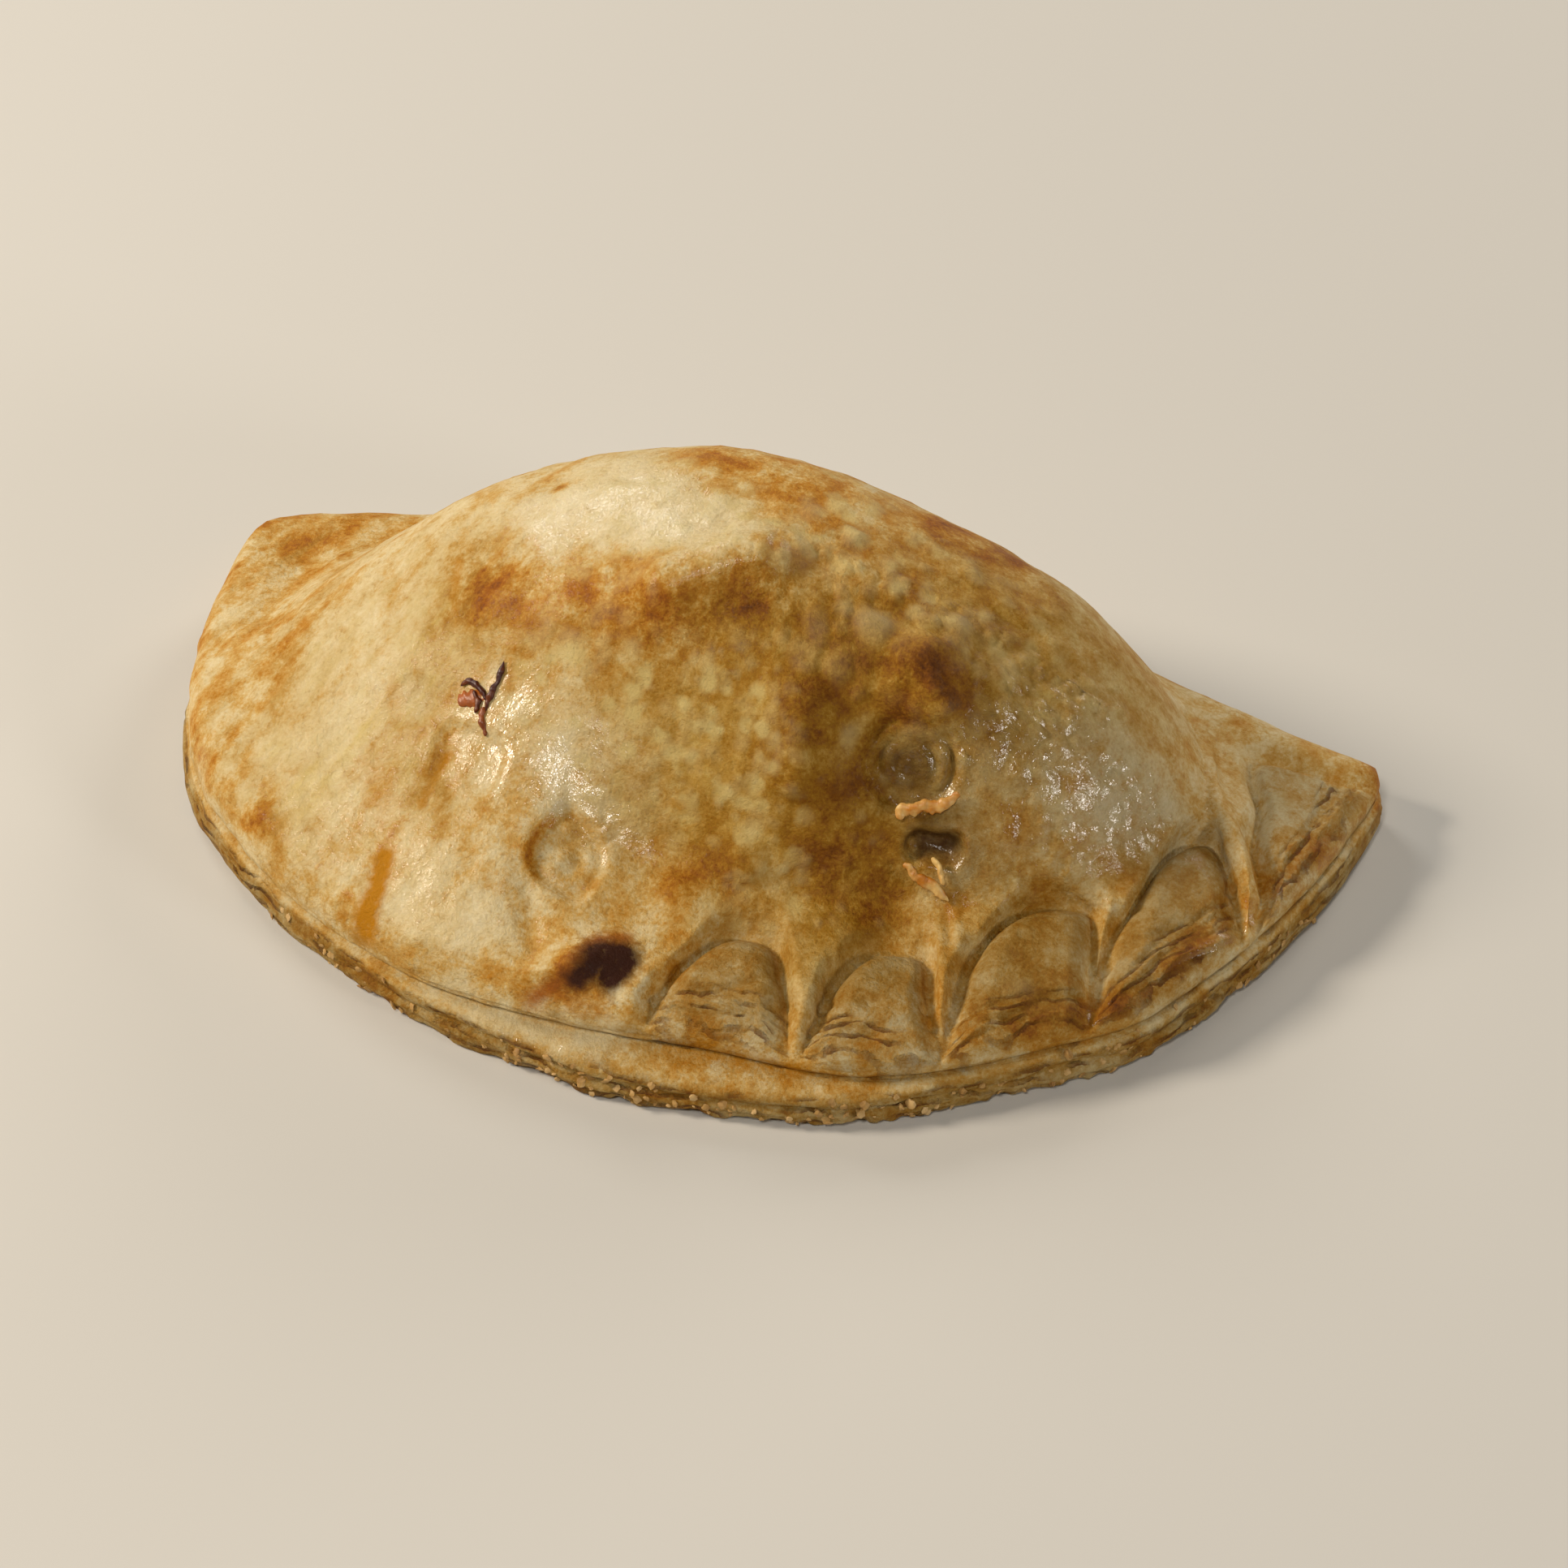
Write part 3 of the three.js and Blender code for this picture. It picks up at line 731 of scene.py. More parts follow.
# One random number between -1 and 1 for each whole-number cell
def scatter(cell, seed):
    mark = np.full(cell.shape[:-1], seed * STIR_SEED)
    for axis, factor in enumerate(STIR_CELL):
        mark = mark ^ (cell[..., axis] * factor)
    mark = mark.astype(np.uint64)
    for factor in STIR_FACTORS:
        mark = (mark ^ (mark >> np.uint64(STIR_SHIFT))) * np.uint64(factor)
    return (mark >> np.uint64(64 - STIR_BITS)).astype(np.float64) / 2 ** (STIR_BITS - 1) - 1


# Smooth random hills and hollows between -1 and 1, about `size` millimetres apart
def cloud(points, size, seed):
    spot = np.asarray(points) / size + SEED_SHIFT * seed
    cell = np.floor(spot)
    part = spot - cell
    part = part * part * (3 - 2 * part)
    total = 0.0
    for corner in range(8):
        step = np.array([corner & 1, (corner >> 1) & 1, (corner >> 2) & 1])
        weight = np.prod(np.where(step == 1, part, 1 - part), axis=-1)
        total = total + weight * scatter((cell + step).astype(np.int64), seed)
    return total


# Hills with smaller hills on them
def rough_cloud(points, size, seed, layers=3):
    total = 0.0
    height = 1.0
    for layer in range(layers):
        total = total + height * cloud(points, size, seed + layer)
        size = size / HILL_SHRINK
        height = height * HILL_FADE
    return total / HILL_SUM


# Distance of each point from a bent line
def line_distance(points, line):
    line = np.asarray(line, dtype=float)
    if len(line) == 1:
        return np.linalg.norm(points - line[0], axis=-1)
    nearest = None
    for start, end in zip(line[:-1], line[1:]):
        run = end - start
        share = np.clip(((points - start) @ run) / (run @ run), 0.0, 1.0)
        away = np.linalg.norm(points - (start + share[..., None] * run), axis=-1)
        nearest = away if nearest is None else np.minimum(nearest, away)
    return nearest


# Form of the dough

def rim_angle(x, y):
    return np.degrees(np.arctan2(y, x)) % 360


def seal_inset(x, y):
    angle = rim_angle(x, y)
    radius = DISC_RADIUS
    for swell in RIM_SWELLS:
        radius = radius + swell.out * turn_hump(angle, swell.at, swell.spread)
    return radius - np.hypot(x, y)


def fold_inset(x, y):
    drawn_in = FOLD_DRAWN_IN * hump(x, FOLD_DRAWN_X, FOLD_DRAWN_SPREAD)
    line = FOLD_BULGE * (1 - (x / CORNER_REACH) ** 2) - drawn_in
    slope = -2 * FOLD_BULGE * x / CORNER_REACH ** 2
    return (line - y) / np.hypot(1, slope)


def rim_inset(x, y):
    corner = np.where(x < 0, CORNER_ROUND_LEFT, CORNER_ROUND_RIGHT)
    return soft_least(seal_inset(x, y), fold_inset(x, y), corner)


def ledge_width(angle):
    return LEDGE_LEAST + LEDGE_MORE * turn_hump(angle, LEDGE_ANGLE, LEDGE_SPREAD)


def crown_height(x, y):
    across = (x - CROWN_X) / np.where(x < CROWN_X, CROWN_LEFT, CROWN_RIGHT)
    along = (y - CROWN_Y) / np.where(y < CROWN_Y, CROWN_FRONT, CROWN_BACK)
    spread = np.abs(across) ** CROWN_SQUARENESS + np.abs(along) ** CROWN_SQUARENESS
    share = np.minimum(spread ** (1 / CROWN_SQUARENESS), 1.0)
    flank = turn_hump(rim_angle(across, along), FLANK_ANGLE, FLANK_SPREAD) * ease(*FLANK_SHARE, share)
    shoulder = mix(CROWN_SHOULDER, FLANK_SHOULDER, flank)
    return CROWN_HEIGHT * (1 - share ** CROWN_FULLNESS) ** shoulder


# Slope of the filled crust over a place in plan, before swellings, marks and presses
def filled_height(x, y):
    angle = rim_angle(x, y)
    outer = ease(*SKIRT_CLEAR, np.hypot(x, y))
    front = outer * ease(*SKIRT_START, angle) * (1 - ease(*SKIRT_END, angle))
    skirt = mix(SKIRT_SLOPE_LEFT, SKIRT_SLOPE, ease(*SKIRT_EASES, angle))
    slope = mix(SEAM_SLOPE, skirt, front)
    seam = SEAM_HEIGHT + slope * soft_least(np.maximum(seal_inset(x, y), 0.0), SKIRT_REACH, SKIRT_BLEND)
    blend = mix(CROWN_BLEND, CROWN_SOFT_BLEND, outer * turn_hump(angle, SOFT_ANGLE, SOFT_SPREAD))
    blend = mix(blend, CROWN_TIGHT_BLEND, outer * turn_hump(angle, TIGHT_ANGLE, TIGHT_SPREAD))
    return soft_most(seam, crown_height(x, y), blend)


def filled_normal(x, y):
    step = NORMAL_STEP
    slope_x = (filled_height(x + step, y) - filled_height(x - step, y)) / (2 * step)
    slope_y = (filled_height(x, y + step) - filled_height(x, y - step)) / (2 * step)
    normal = np.stack([-slope_x, -slope_y, np.ones_like(slope_x)], axis=-1)
    return normal / np.linalg.norm(normal, axis=-1, keepdims=True)


def on_filled(place):
    x, y = np.float64(place[0]), np.float64(place[1])
    return np.array([x, y, filled_height(x, y)])


# Each press sinks a low pillow into the slope. Also gives how far inside the nearest press a place lies,
# and how near it is to the crease round a press, which is deepest at the left.
def press_down(x, y, z, seal):
    place = np.stack([x, y, np.zeros_like(x)], axis=-1)
    x = x + PRESS_WANDER * cloud(place, PRESS_WANDER_SIZE, PRESS_WANDER_SEEDS[0])
    y = y + PRESS_WANDER * cloud(place, PRESS_WANDER_SIZE, PRESS_WANDER_SEEDS[1])
    deepest = np.full(np.shape(x), -np.inf)
    crease = np.zeros(np.shape(x))
    for press in PRESSES:
        out = press.top - y
        left_side = press.left + press.lean_left * out
        right_side = press.right + press.lean_right * out
        across = np.clip((x - press.left) / (press.right - press.left), 0.0, 1.0)
        arch = PRESS_SLANT * (press.top - press.drop * (1 - across) ** 3 - y)
        sides = soft_least(x - left_side, right_side - x, PRESS_CORNER)
        inside = soft_least(sides, arch, PRESS_CORNER)
        pillow = PRESS_PILLOW * (1 - np.exp(-np.maximum(inside, 0) / PRESS_PILLOW_REACH))
        floor = PRESS_FLOOR + PRESS_RISE * seal + pillow
        share = ease(-PRESS_WALL, PRESS_TOE, sides) * ease(-press.soft, PRESS_TOE, arch)
        z = mix(z, np.minimum(z, floor), share)
        deepest = np.maximum(deepest, inside)
        fading = mix(1.0, PRESS_CREASE_RIGHT, across)
        crease = np.maximum(crease, hump(inside, 0, PRESS_CREASE_WIDE) * fading)
    return z, deepest, crease


# Factor that makes the outline of a pit uneven
def torn_edge(points):
    return 1 + PIT_UNEVEN * cloud(points, PIT_UNEVEN_SIZE, PIT_SEED)


# Line down into a pit, across its floor and up again
def pit_line(pit):
    ends = np.array([on_filled(pit.start), on_filled(pit.end)])
    floor = ends - pit.depth * filled_normal(ends[:, 0], ends[:, 1])
    return [ends[0], floor[0], floor[1], ends[1]]


# Height of the swellings, round marks and pits at points of the filled crust
def relief(points):
    rise = np.zeros(points.shape[:-1])
    for stroke in SWELLS:
        line = [on_filled(stroke.start), on_filled(stroke.end)]
        rise += stroke.rise * hump(line_distance(points, line), 0, stroke.wide)
    for stamp in STAMPS:
        away = np.linalg.norm(points - on_filled(stamp.at), axis=-1)
        uneven = 1 + STAMP_UNEVEN * cloud(points, stamp.radius, STAMP_SEED)
        inside = ease(*STAMP_EDGE, uneven * away / stamp.radius)
        whole = ease(*RING_GAPS, cloud(points, RING_GAP_SIZE, RING_SEED))
        rings = stamp.ring_rise * np.cos(2 * np.pi * away / stamp.ring) * whole
        rise += inside * (rings - stamp.depth)
    for pit in PITS:
        away = line_distance(points, [on_filled(pit.start), on_filled(pit.end)]) / pit.radius
        rise -= pit.depth * ease(*pit.edge, away * torn_edge(points))
    return rise


# Finished points of the crust over places in plan, before its fine texture
def crust_points(x, y):
    seal = seal_inset(x, y)
    lip = seal - ledge_width(rim_angle(x, y))
    fold = fold_inset(x, y)
    points = np.stack([x, y, filled_height(x, y)], axis=-1)
    lift = relief(points) * ease(0, RELIEF_FADE_LIP, lip) * ease(0, RELIEF_FADE_FOLD, fold)
    points = points + lift[..., None] * filled_normal(x, y)
    z, _, _ = press_down(points[..., 0], points[..., 1], points[..., 2], seal)
    z = mix(LIP_MIDDLE, z, edge_round(lip, LIP_ROUND))
    points[..., 2] = mix(FOLD_MIDDLE, z, edge_round(fold, FOLD_ROUND))
    return points


# Side of the rim from the flat base up to the lip: insets and heights for each column
def rim_side(ledge, fold_share):
    inset, ledge_share, height = np.array(RIM_PROFILE).T
    turn = np.radians(FOLD_TURNS)
    share = fold_share[:, None]
    return (mix(inset + ledge_share * ledge[:, None], FOLD_MIDDLE * (1 - np.cos(turn)), share),
            mix(height, FOLD_MIDDLE * (1 + np.sin(turn)), share))


# Rows evenly along a smooth curve through a column's corner rows
def smooth_rows(corners, rows):
    count = corners.shape[1]
    along = np.linspace(0, count - 1, rows)
    first = np.minimum(along.astype(int), count - 2)
    t = along - first
    before = corners[:, np.maximum(first - 1, 0)]
    start = corners[:, first]
    end = corners[:, first + 1]
    after = corners[:, np.minimum(first + 2, count - 1)]
    return 0.5 * (2 * start + (end - before) * t + (2 * before - 5 * start + 4 * end - after) * t ** 2
                  + (3 * start - before - 3 * end + after) * t ** 3)


# Distance from the spine to the rim along each column
def reach_to_rim(start_x, dx, dy):
    inside = np.zeros_like(dx)
    outside = np.full_like(dx, 2 * DISC_RADIUS)
    for _ in range(RIM_HALVINGS):
        middle = (inside + outside) / 2
        within = rim_inset(start_x + middle * dx, SPINE_Y + middle * dy) > 0
        inside = np.where(within, middle, inside)
        outside = np.where(within, outside, middle)
    return inside


# Columns run from a spine under the crown out to the rim: fine ones to the front, coarser ones to the back
def lay_columns():
    even = np.linspace(0.0, 1.0, COLUMN_TRIALS)
    count = np.cumsum(1 + COLUMN_CROWD * ease(*COLUMN_CROWD_FROM, even))
    count = (count - count[0]) / (count[-1] - count[0])
    front = np.interp(np.linspace(0.0, 1.0, FRONT_COLUMNS + 1), count, even)
    back = 1 - front[-1 - COARSER:0:-COARSER]
    turn = np.pi * np.concatenate([1 + front, back])
    start_x = SPINE_X + SPINE_HALF * np.concatenate([2 * front - 1, 1 - 2 * back])
    return start_x, np.cos(turn), np.sin(turn)


# Distances in from the rim for each column's rows, spaced along the sloping crust
def even_rows(rim_x, rim_y, dx, dy, start, reach):
    trial = mix(start, reach, np.linspace(0.0, 1.0, ROW_TRIALS))
    height = filled_height(rim_x - trial * dx, rim_y - trial * dy)
    length = np.cumsum(np.hypot(np.diff(trial, axis=1), np.diff(height, axis=1)), axis=1)
    length = np.concatenate([np.zeros_like(start), length], axis=1)
    even = np.arange(1, TOP_ROWS + 1) / TOP_ROWS
    share = even * mix(1 - ROW_CROWD, 1.0, even)
    return np.stack([np.interp(share * run[-1], run, place) for run, place in zip(length, trial)])


# Points of the crust, one row of the array for each column, from the base up the rim and over the top
def lay_crust():
    start_x, dx, dy = lay_columns()
    reach = reach_to_rim(start_x, dx, dy)
    rim_x, rim_y = start_x + reach * dx, SPINE_Y + reach * dy
    fold_share = ease(-CORNER_BLEND, CORNER_BLEND, seal_inset(rim_x, rim_y) - fold_inset(rim_x, rim_y))
    inset, height = rim_side(ledge_width(rim_angle(rim_x, rim_y)), fold_share)
    inset = smooth_rows(inset, RIM_ROWS)
    height = smooth_rows(height, RIM_ROWS)
    rim_x, rim_y, dx, dy, reach = (values[:, None] for values in (rim_x, rim_y, dx, dy, reach))
    side = np.stack([rim_x - inset * dx, rim_y - inset * dy, height], axis=-1)
    along = even_rows(rim_x, rim_y, dx, dy, inset[:, -1:], reach)
    top = crust_points(rim_x - along * dx, rim_y - along * dy)
    return np.concatenate([side, top], axis=1)


# Joins the columns into one closed skin. The inner ends of the coarse back columns are some of the inner
# ends of the fine front ones, so the faces along the spine have more corners at the back.
def join_columns(grid):
    rows = grid.shape[1]
    fine = np.arange((FRONT_COLUMNS + 1) * rows).reshape(-1, rows)
    spine = fine[::-1, -1]
    ends = spine[COARSER:-1:COARSER]
    coarse = fine.size + np.arange(len(ends) * (rows - 1)).reshape(-1, rows - 1)
    number = np.vstack([fine, np.hstack([coarse, ends[:, None]])])
    points = np.concatenate([grid[:FRONT_COLUMNS + 1].reshape(-1, 3),
                             grid[FRONT_COLUMNS + 1:, :-1].reshape(-1, 3),
                             [[SPINE_X, SPINE_Y, 0.0]]])
    base = len(points) - 1
    columns = len(number)
    faces = []
    for c in range(columns):
        n = (c + 1) % columns
        behind = c - FRONT_COLUMNS
        full = rows - 1 if behind < 0 else rows - 2
        for r in range(full):
            faces.append((number[c, r], number[n, r], number[n, r + 1], number[c, r + 1]))
        if behind >= 0:
            inner = spine[COARSER * behind:COARSER * (behind + 1) + 1]
            faces.append((number[c, full], number[n, full], *inner[::-1]))
        faces.append((number[n, 0], number[c, 0], base))
    return points, faces


# Outward normals of a mesh's points
def point_normals(points, faces):
    mesh = bpy.data.meshes.new("shape")
    mesh.from_pydata(points.tolist(), [], faces)
    normals = np.empty(len(points) * 3)
    mesh.vertex_normals.foreach_get("vector", normals)
    bpy.data.meshes.remove(mesh)
    return normals.reshape(-1, 3)


# Picture places

def camera_axes():
    turn, tilt = math.radians(VIEW_AZIMUTH), math.radians(VIEW_ELEVATION)
    right = np.array([math.cos(turn), math.sin(turn), 0.0])
    back = np.array([math.sin(turn) * math.cos(tilt), -math.cos(turn) * math.cos(tilt), math.sin(tilt)])
    return right, np.cross(back, right), back


# Points of the crust that show at places in the picture
def picture_to_crust(places):
    right, up, back = camera_axes()
    places = np.asarray(places, dtype=float)
    half = math.tan(math.radians(VIEW_ANGLE / 2))
    across = (places[:, 0] / PICTURE * 2 - 1) * half
    down = (places[:, 1] / PICTURE * 2 - 1) * half
    ray = -back + across[:, None] * right - down[:, None] * up
    eye = np.array(VIEW_TARGET) + back * VIEW_DISTANCE + np.array([*DOUGH_MIDDLE, 0.0])
    depth = np.linspace(*VIEW_REACH, VIEW_STEPS)
    points = eye + depth[None, :, None] * ray[:, None, :]
    x, y = points[..., 0], points[..., 1]
    lip = seal_inset(x, y) - ledge_width(rim_angle(x, y))
    height = np.where(lip < 0, LEDGE_TOP, crust_points(x, y)[..., 2])
    height = np.where(rim_inset(x, y) < 0, 0.0, height)
    under = points[..., 2] <= height
    first = np.where(under.any(axis=1), under.argmax(axis=1), len(depth) - 1)
    return points[np.arange(len(places)), first]


# Sum of soft touches over the crust
def touched(points, touches):
    amount = np.zeros(len(points))
    for touch in touches:
        line = picture_to_crust(touch.path)
        amount += touch.amount * hump(line_distance(points, line), 0, touch.wide)
    return amount


# Blisters raised and paled by the oven: heights and paleness over the crust
def blisters(points):
    draw = np.random.default_rng(SEED)
    spots = [(picture_to_crust([b.at])[0], b.radius, b.rise, SPOT_PALE * b.pale) for b in BLISTER_SPOTS]
    for field in BLISTER_FIELDS:
        middle = picture_to_crust([field.middle])[0]
        near = np.flatnonzero(np.linalg.norm(points - middle, axis=1) < field.reach)
        for pick in draw.choice(near, field.count):
            radius = draw.uniform(field.least, field.most)
            share = draw.uniform(*BLISTER_SHARE)
            spots.append((points[pick], radius, field.rise * share, field.pale * share))
    rise = np.zeros(len(points))
    pale = np.zeros(len(points))
    for middle, radius, height, paleness in spots:
        near = np.flatnonzero(np.abs(points - middle).max(axis=1) < 2 * radius)
        away = np.linalg.norm(points[near] - middle, axis=1) / radius
        lump = BLISTER_UNEVEN_SHARE * radius + BLISTER_UNEVEN_LEAST
        away = away * (1 + BLISTER_UNEVEN * cloud(points[near], lump, SEED))
        rise[near] = np.maximum(rise[near], height * ease(*BLISTER_DOME, away))
        pale[near] = np.maximum(pale[near], paleness * ease(*BLISTER_PALE, away))
    return rise, pale


# Random waves that run along one direction in plan
def streaks(points, turn, long, wide, seed):
    turn = math.radians(turn)
    along = points[:, 0] * math.cos(turn) + points[:, 1] * math.sin(turn)
    across = points[:, 1] * math.cos(turn) - points[:, 0] * math.sin(turn)
    return rough_cloud(np.stack([along / long, across / wide, points[:, 2] / long], axis=-1), 1.0, seed)


# Thin broken steps of baked layers: `level` counts millimetres across them, `arc` runs along them
def layer_steps(level, arc, step, seed):
    flat = np.zeros_like(arc)
    wave = np.stack([arc / LAYER_WAVE[0], level / LAYER_WAVE[1], flat], axis=-1)
    tear = np.stack([arc / LAYER_TEAR[0], level / LAYER_TEAR[1], flat], axis=-1)
    phase = level / step + LAYER_WANDER * cloud(wave, 1.0, seed)
    part = phase - np.floor(phase)
    return (ease(*LAYER_CLIFF, part) - part) * ease(*LAYER_BROKEN, cloud(tear, 1.0, seed + 1))


# Parts of the crust as shares from 0 to 1, with the measures that they come from
Zones = namedtuple("Zones", (
    "angle arc lip fold front pressed crease side sealed_side crust flank petal cut_side petal_steps "
    "side_steps streak along grounded"))


def crust_zones(points):
    x, y, z = points.T
    angle = rim_angle(x, y)
    arc = np.radians(angle) * DISC_RADIUS
    seal = seal_inset(x, y)
    lip = seal - ledge_width(angle)
    fold = fold_inset(x, y)
    front = ease(*FRONT_EDGE_START, angle) * ease(*FRONT_EDGE_END, angle)
    _, inside, crease = press_down(x, y, z, seal)
    pressed = ease(*PRESSED_FROM, inside) * ease(*PRESSED_CLEAR, fold)
    side = ease(*SIDE_FROM, np.minimum(lip, fold)) * ease(*SIDE_BASE, z)
    sealed_side = side * ease(-CORNER_BLEND, CORNER_BLEND, fold - seal)
    crust = 1 - side
    flank = ease(*FLANK_FROM, x) * crust * (1 - pressed)
    along = np.stack([arc / SHELF_LONG, np.zeros_like(arc), np.zeros_like(arc)], axis=-1)
    shelf = SHELF_REACH + SHELF_WANDER * cloud(along, 1.0, SHELF_SEED)
    petal = pressed * ease(shelf + SHELF_EDGE, shelf - SHELF_EDGE, lip) * crust
    cut_side = sealed_side * ease(*CUT_SIDE_FROM, z)
    petal_steps = layer_steps(lip, arc, LAYER_STEP, LAYER_SEED)
    side_steps = layer_steps(z, arc, SIDE_STEP, SIDE_SEED)
    streak = streaks(points, STREAK_TURN, STREAK_LONG, STREAK_WIDE, STREAK_SEED)
    grounded = ease(*GROUNDED_FROM, z)
    return Zones(angle, arc, lip, fold, front, pressed, crease, side, sealed_side, crust, flank, petal,
                 cut_side, petal_steps, side_steps, streak, along, grounded)


# Height of the fine texture along the crust's normals
def texture_crust(points, zones, blister_rise):
    z = points[:, 2]
    share = mix(1.0, PRESSED_TEXTURE, zones.pressed)
    rise = np.zeros(len(points))
    for size, height, seed in LUMPS:
        rise += height * cloud(points, size, seed) * share * zones.grounded
    rise += STREAK_RISE * zones.streak * zones.flank
    rise += blister_rise * zones.crust * share
    puffed = np.clip(touched(points, PUFFED), 0.0, 1.0) * zones.crust * (1 - zones.pressed)
    for size, height, seed in PUFFS:
        rise += height * np.abs(cloud(points, size, seed)) * puffed
    uneven = ease(*CREASE_UNEVEN, cloud(points, CREASE_UNEVEN_SIZE, CREASE_SEED))
    rise -= PRESS_CREASE * zones.crease * uneven * zones.crust * ease(*CREASE_FADE, zones.lip)
    thin_steps = layer_steps(zones.lip, zones.arc, THIN_STEP, THIN_SEED)
    layered = LAYER_RISE * zones.petal_steps + THIN_RISE * thin_steps
    rise += (layered - SHELF_DROP) * zones.petal * ease(*SHELF_FADE, zones.lip)
    rise += touched(points, RAISED)
    rise += SIDE_RISE * zones.side_steps * zones.sealed_side * zones.grounded
    split = SPLIT_HEIGHT + SPLIT_WANDER * cloud(zones.along, SPLIT_LONG, SPLIT_SEED)
    rise -= SPLIT_DEPTH * hump(z, split, SPLIT_WIDE) * zones.sealed_side * zones.front
    edge = np.stack([zones.arc / RAGGED_SIZE[0], z / RAGGED_SIZE[1], np.zeros_like(z)], axis=-1)
    ragged = rough_cloud(edge, 1.0, RAGGED_SEED) * ease(*RAGGED_FROM, z) * zones.front
    return rise + RAGGED_OUT * ragged * zones.side * ease(*RAGGED_BASE, z)


# How brown each point is, from its toasted touches (some of them painted shade) and the part of the
# crust that it lies in
def brown_crust(points, zones, toast_and_shade, fibre):
    y, z = points[:, 1], points[:, 2]
    patch = rough_cloud(points, PATCH_SIZE, PATCH_SEED)
    behind = ease(*BEHIND_FROM, y) * ease(*BEHIND_CLEAR, zones.fold)
    brown = EVEN_BROWN + toast_and_shade - touched(points, PALED)
    brown += PRESSED_BROWN * zones.pressed + PATCH_BROWN * patch
    brown += BEHIND_BROWN * behind * ease(*BEHIND_PATCH, patch)
    sealed_front = ease(*LIP_BROWN_START, zones.angle) * ease(*LIP_BROWN_END, zones.angle)
    brown += LIP_BROWN * hump(zones.lip, LIP_BROWN_AT, LIP_BROWN_WIDE) * zones.crust * sealed_front
    brown += (STREAK_BROWN * zones.streak + FIBRE_BROWN * fibre) * zones.flank
    brown += STEP_BROWN * zones.petal * ease(*STEP_DEEP, zones.petal_steps)
    # The side of the rim: baked layers, and browner partly as painted shade
    brown = mix(brown, CUT_BROWN_AND_SHADE - CUT_STEP_BROWN * zones.side_steps, zones.cut_side)
    return mix(BASE_BROWN, brown, ease(*BASE_BROWN_TO, z))


# The marks that colour the crust
def mark_crust(points, zones, pale):
    x, z = points[:, 0], points[:, 2]
    toast_and_shade = touched(points, TOASTED_AND_SHADED)
    scorch_and_shade = touched(points, SCORCHED_AND_SHADED)
    for stamp in STAMPS:
        away = np.linalg.norm(points - on_filled(stamp.at), axis=1) / stamp.radius
        left = ease(*STAMP_TOAST_LEFT, (x - stamp.at[0]) / stamp.radius)
        toast_and_shade += STAMP_TOAST * stamp.depth * left * hump(away, STAMP_TOAST_AT, STAMP_TOAST_WIDE)
    # Pits are darkened inside: partly scorch, partly painted shade in the hollow
    for pit in PITS:
        away = line_distance(points, pit_line(pit)) / pit.radius
        scorch_and_shade += pit.char * ease(*PIT_SCORCH_AND_SHADE, away * torn_edge(points))
    fibre = streaks(points, STREAK_TURN, STREAK_LONG, FIBRE_WIDE, FIBRE_SEED)
    soaked = SOAKED * ease(*SOAKED_FROM, rough_cloud(points, SOAKED_SIZE, SOAKED_SEED))
    # Fat colour on the flank's fibres, and on the side of the rim partly as painted shade
    soaked += FIBRE_BUTTER * ease(*FIBRE_BUTTER_FROM, -fibre) * zones.flank + CUT_BUTTER_AND_SHADE * zones.cut_side
    # Painted shadow: a thin dark line along the seam under the lip
    seam = zones.sealed_side * hump(z, SEAM_SHADOW_HEIGHT, SEAM_SHADOW_WIDE)
    # Painted shade: the presses and the side of the rim are darkened
    shaded_parts = zones.pressed * zones.crust + zones.cut_side
    proud = zones.crust * (1 - PRESSED_DULL * zones.pressed)
    deep = zones.petal * ease(*STEP_DEEP, zones.petal_steps)
    deep = deep + zones.cut_side * ease(*STEP_DEEP, zones.side_steps)
    marks = {
        "brown": brown_crust(points, zones, toast_and_shade, fibre),
        # Fat colour, partly painted shade on the far slopes and in the presses
        "butter_and_shade": touched(points, BUTTERED_AND_SHADED) * zones.crust + soaked,
        "pale": pale * zones.crust * ease(*PALE_CLEAR, toast_and_shade),
        "oil": touched(points, OILED),
        "glaze": touched(points, GLAZED) + THIN_WASH * proud * ease(*WASH_CLEAR, toast_and_shade),
        "flaky": zones.petal + zones.cut_side,
        "scorch_and_shade": scorch_and_shade,
        "damp_and_shade": touched(points, DAMP_AND_SHADE) + PRESS_AND_RIM_SHADE * shaded_parts + SEAM_SHADOW * seam,
        "layers": touched(points, RUSSET) + STEP_LAYERS * deep,
        "mottle": touched(points, MOTTLED) * proud * ease(*MOTTLE_CLEAR, toast_and_shade),
    }
    marks = {name: np.clip(value, 0.0, 1.0) for name, value in marks.items()}
    marks["level"] = np.where(zones.lip < 0, z - LIP_MIDDLE, zones.lip)
    return marks


# Pieces

# A mesh object at the origin, from points in the dough's frame, with its marks as attributes
def make_piece(name, points, faces, material, marks=None):
    placed = (np.asarray(points) - np.array([*DOUGH_MIDDLE, 0.0])) * MM
    mesh = bpy.data.meshes.new(name)
    mesh.from_pydata(placed.tolist(), [], faces)
    for mark, values in (marks or {}).items():
        layer = mesh.attributes.new(mark, "FLOAT", "POINT")
        layer.data.foreach_set("value", np.asarray(values, dtype=np.float32))
    mesh.materials.append(material)
    mesh.shade_smooth()
    piece = bpy.data.objects.new(name, mesh)
    bpy.context.scene.collection.objects.link(piece)
    return piece


def bake_crust(material):
    points, faces = join_columns(lay_crust())
    zones = crust_zones(points)
    blister_rise, pale = blisters(points)
    rise = texture_crust(points, zones, blister_rise)
    marks = mark_crust(points, zones, pale)
    points = points + rise[:, None] * point_normals(points, faces)
    points[:, 2] = np.maximum(points[:, 2], 0.0)
    return make_piece("crust", points, faces, material, marks)


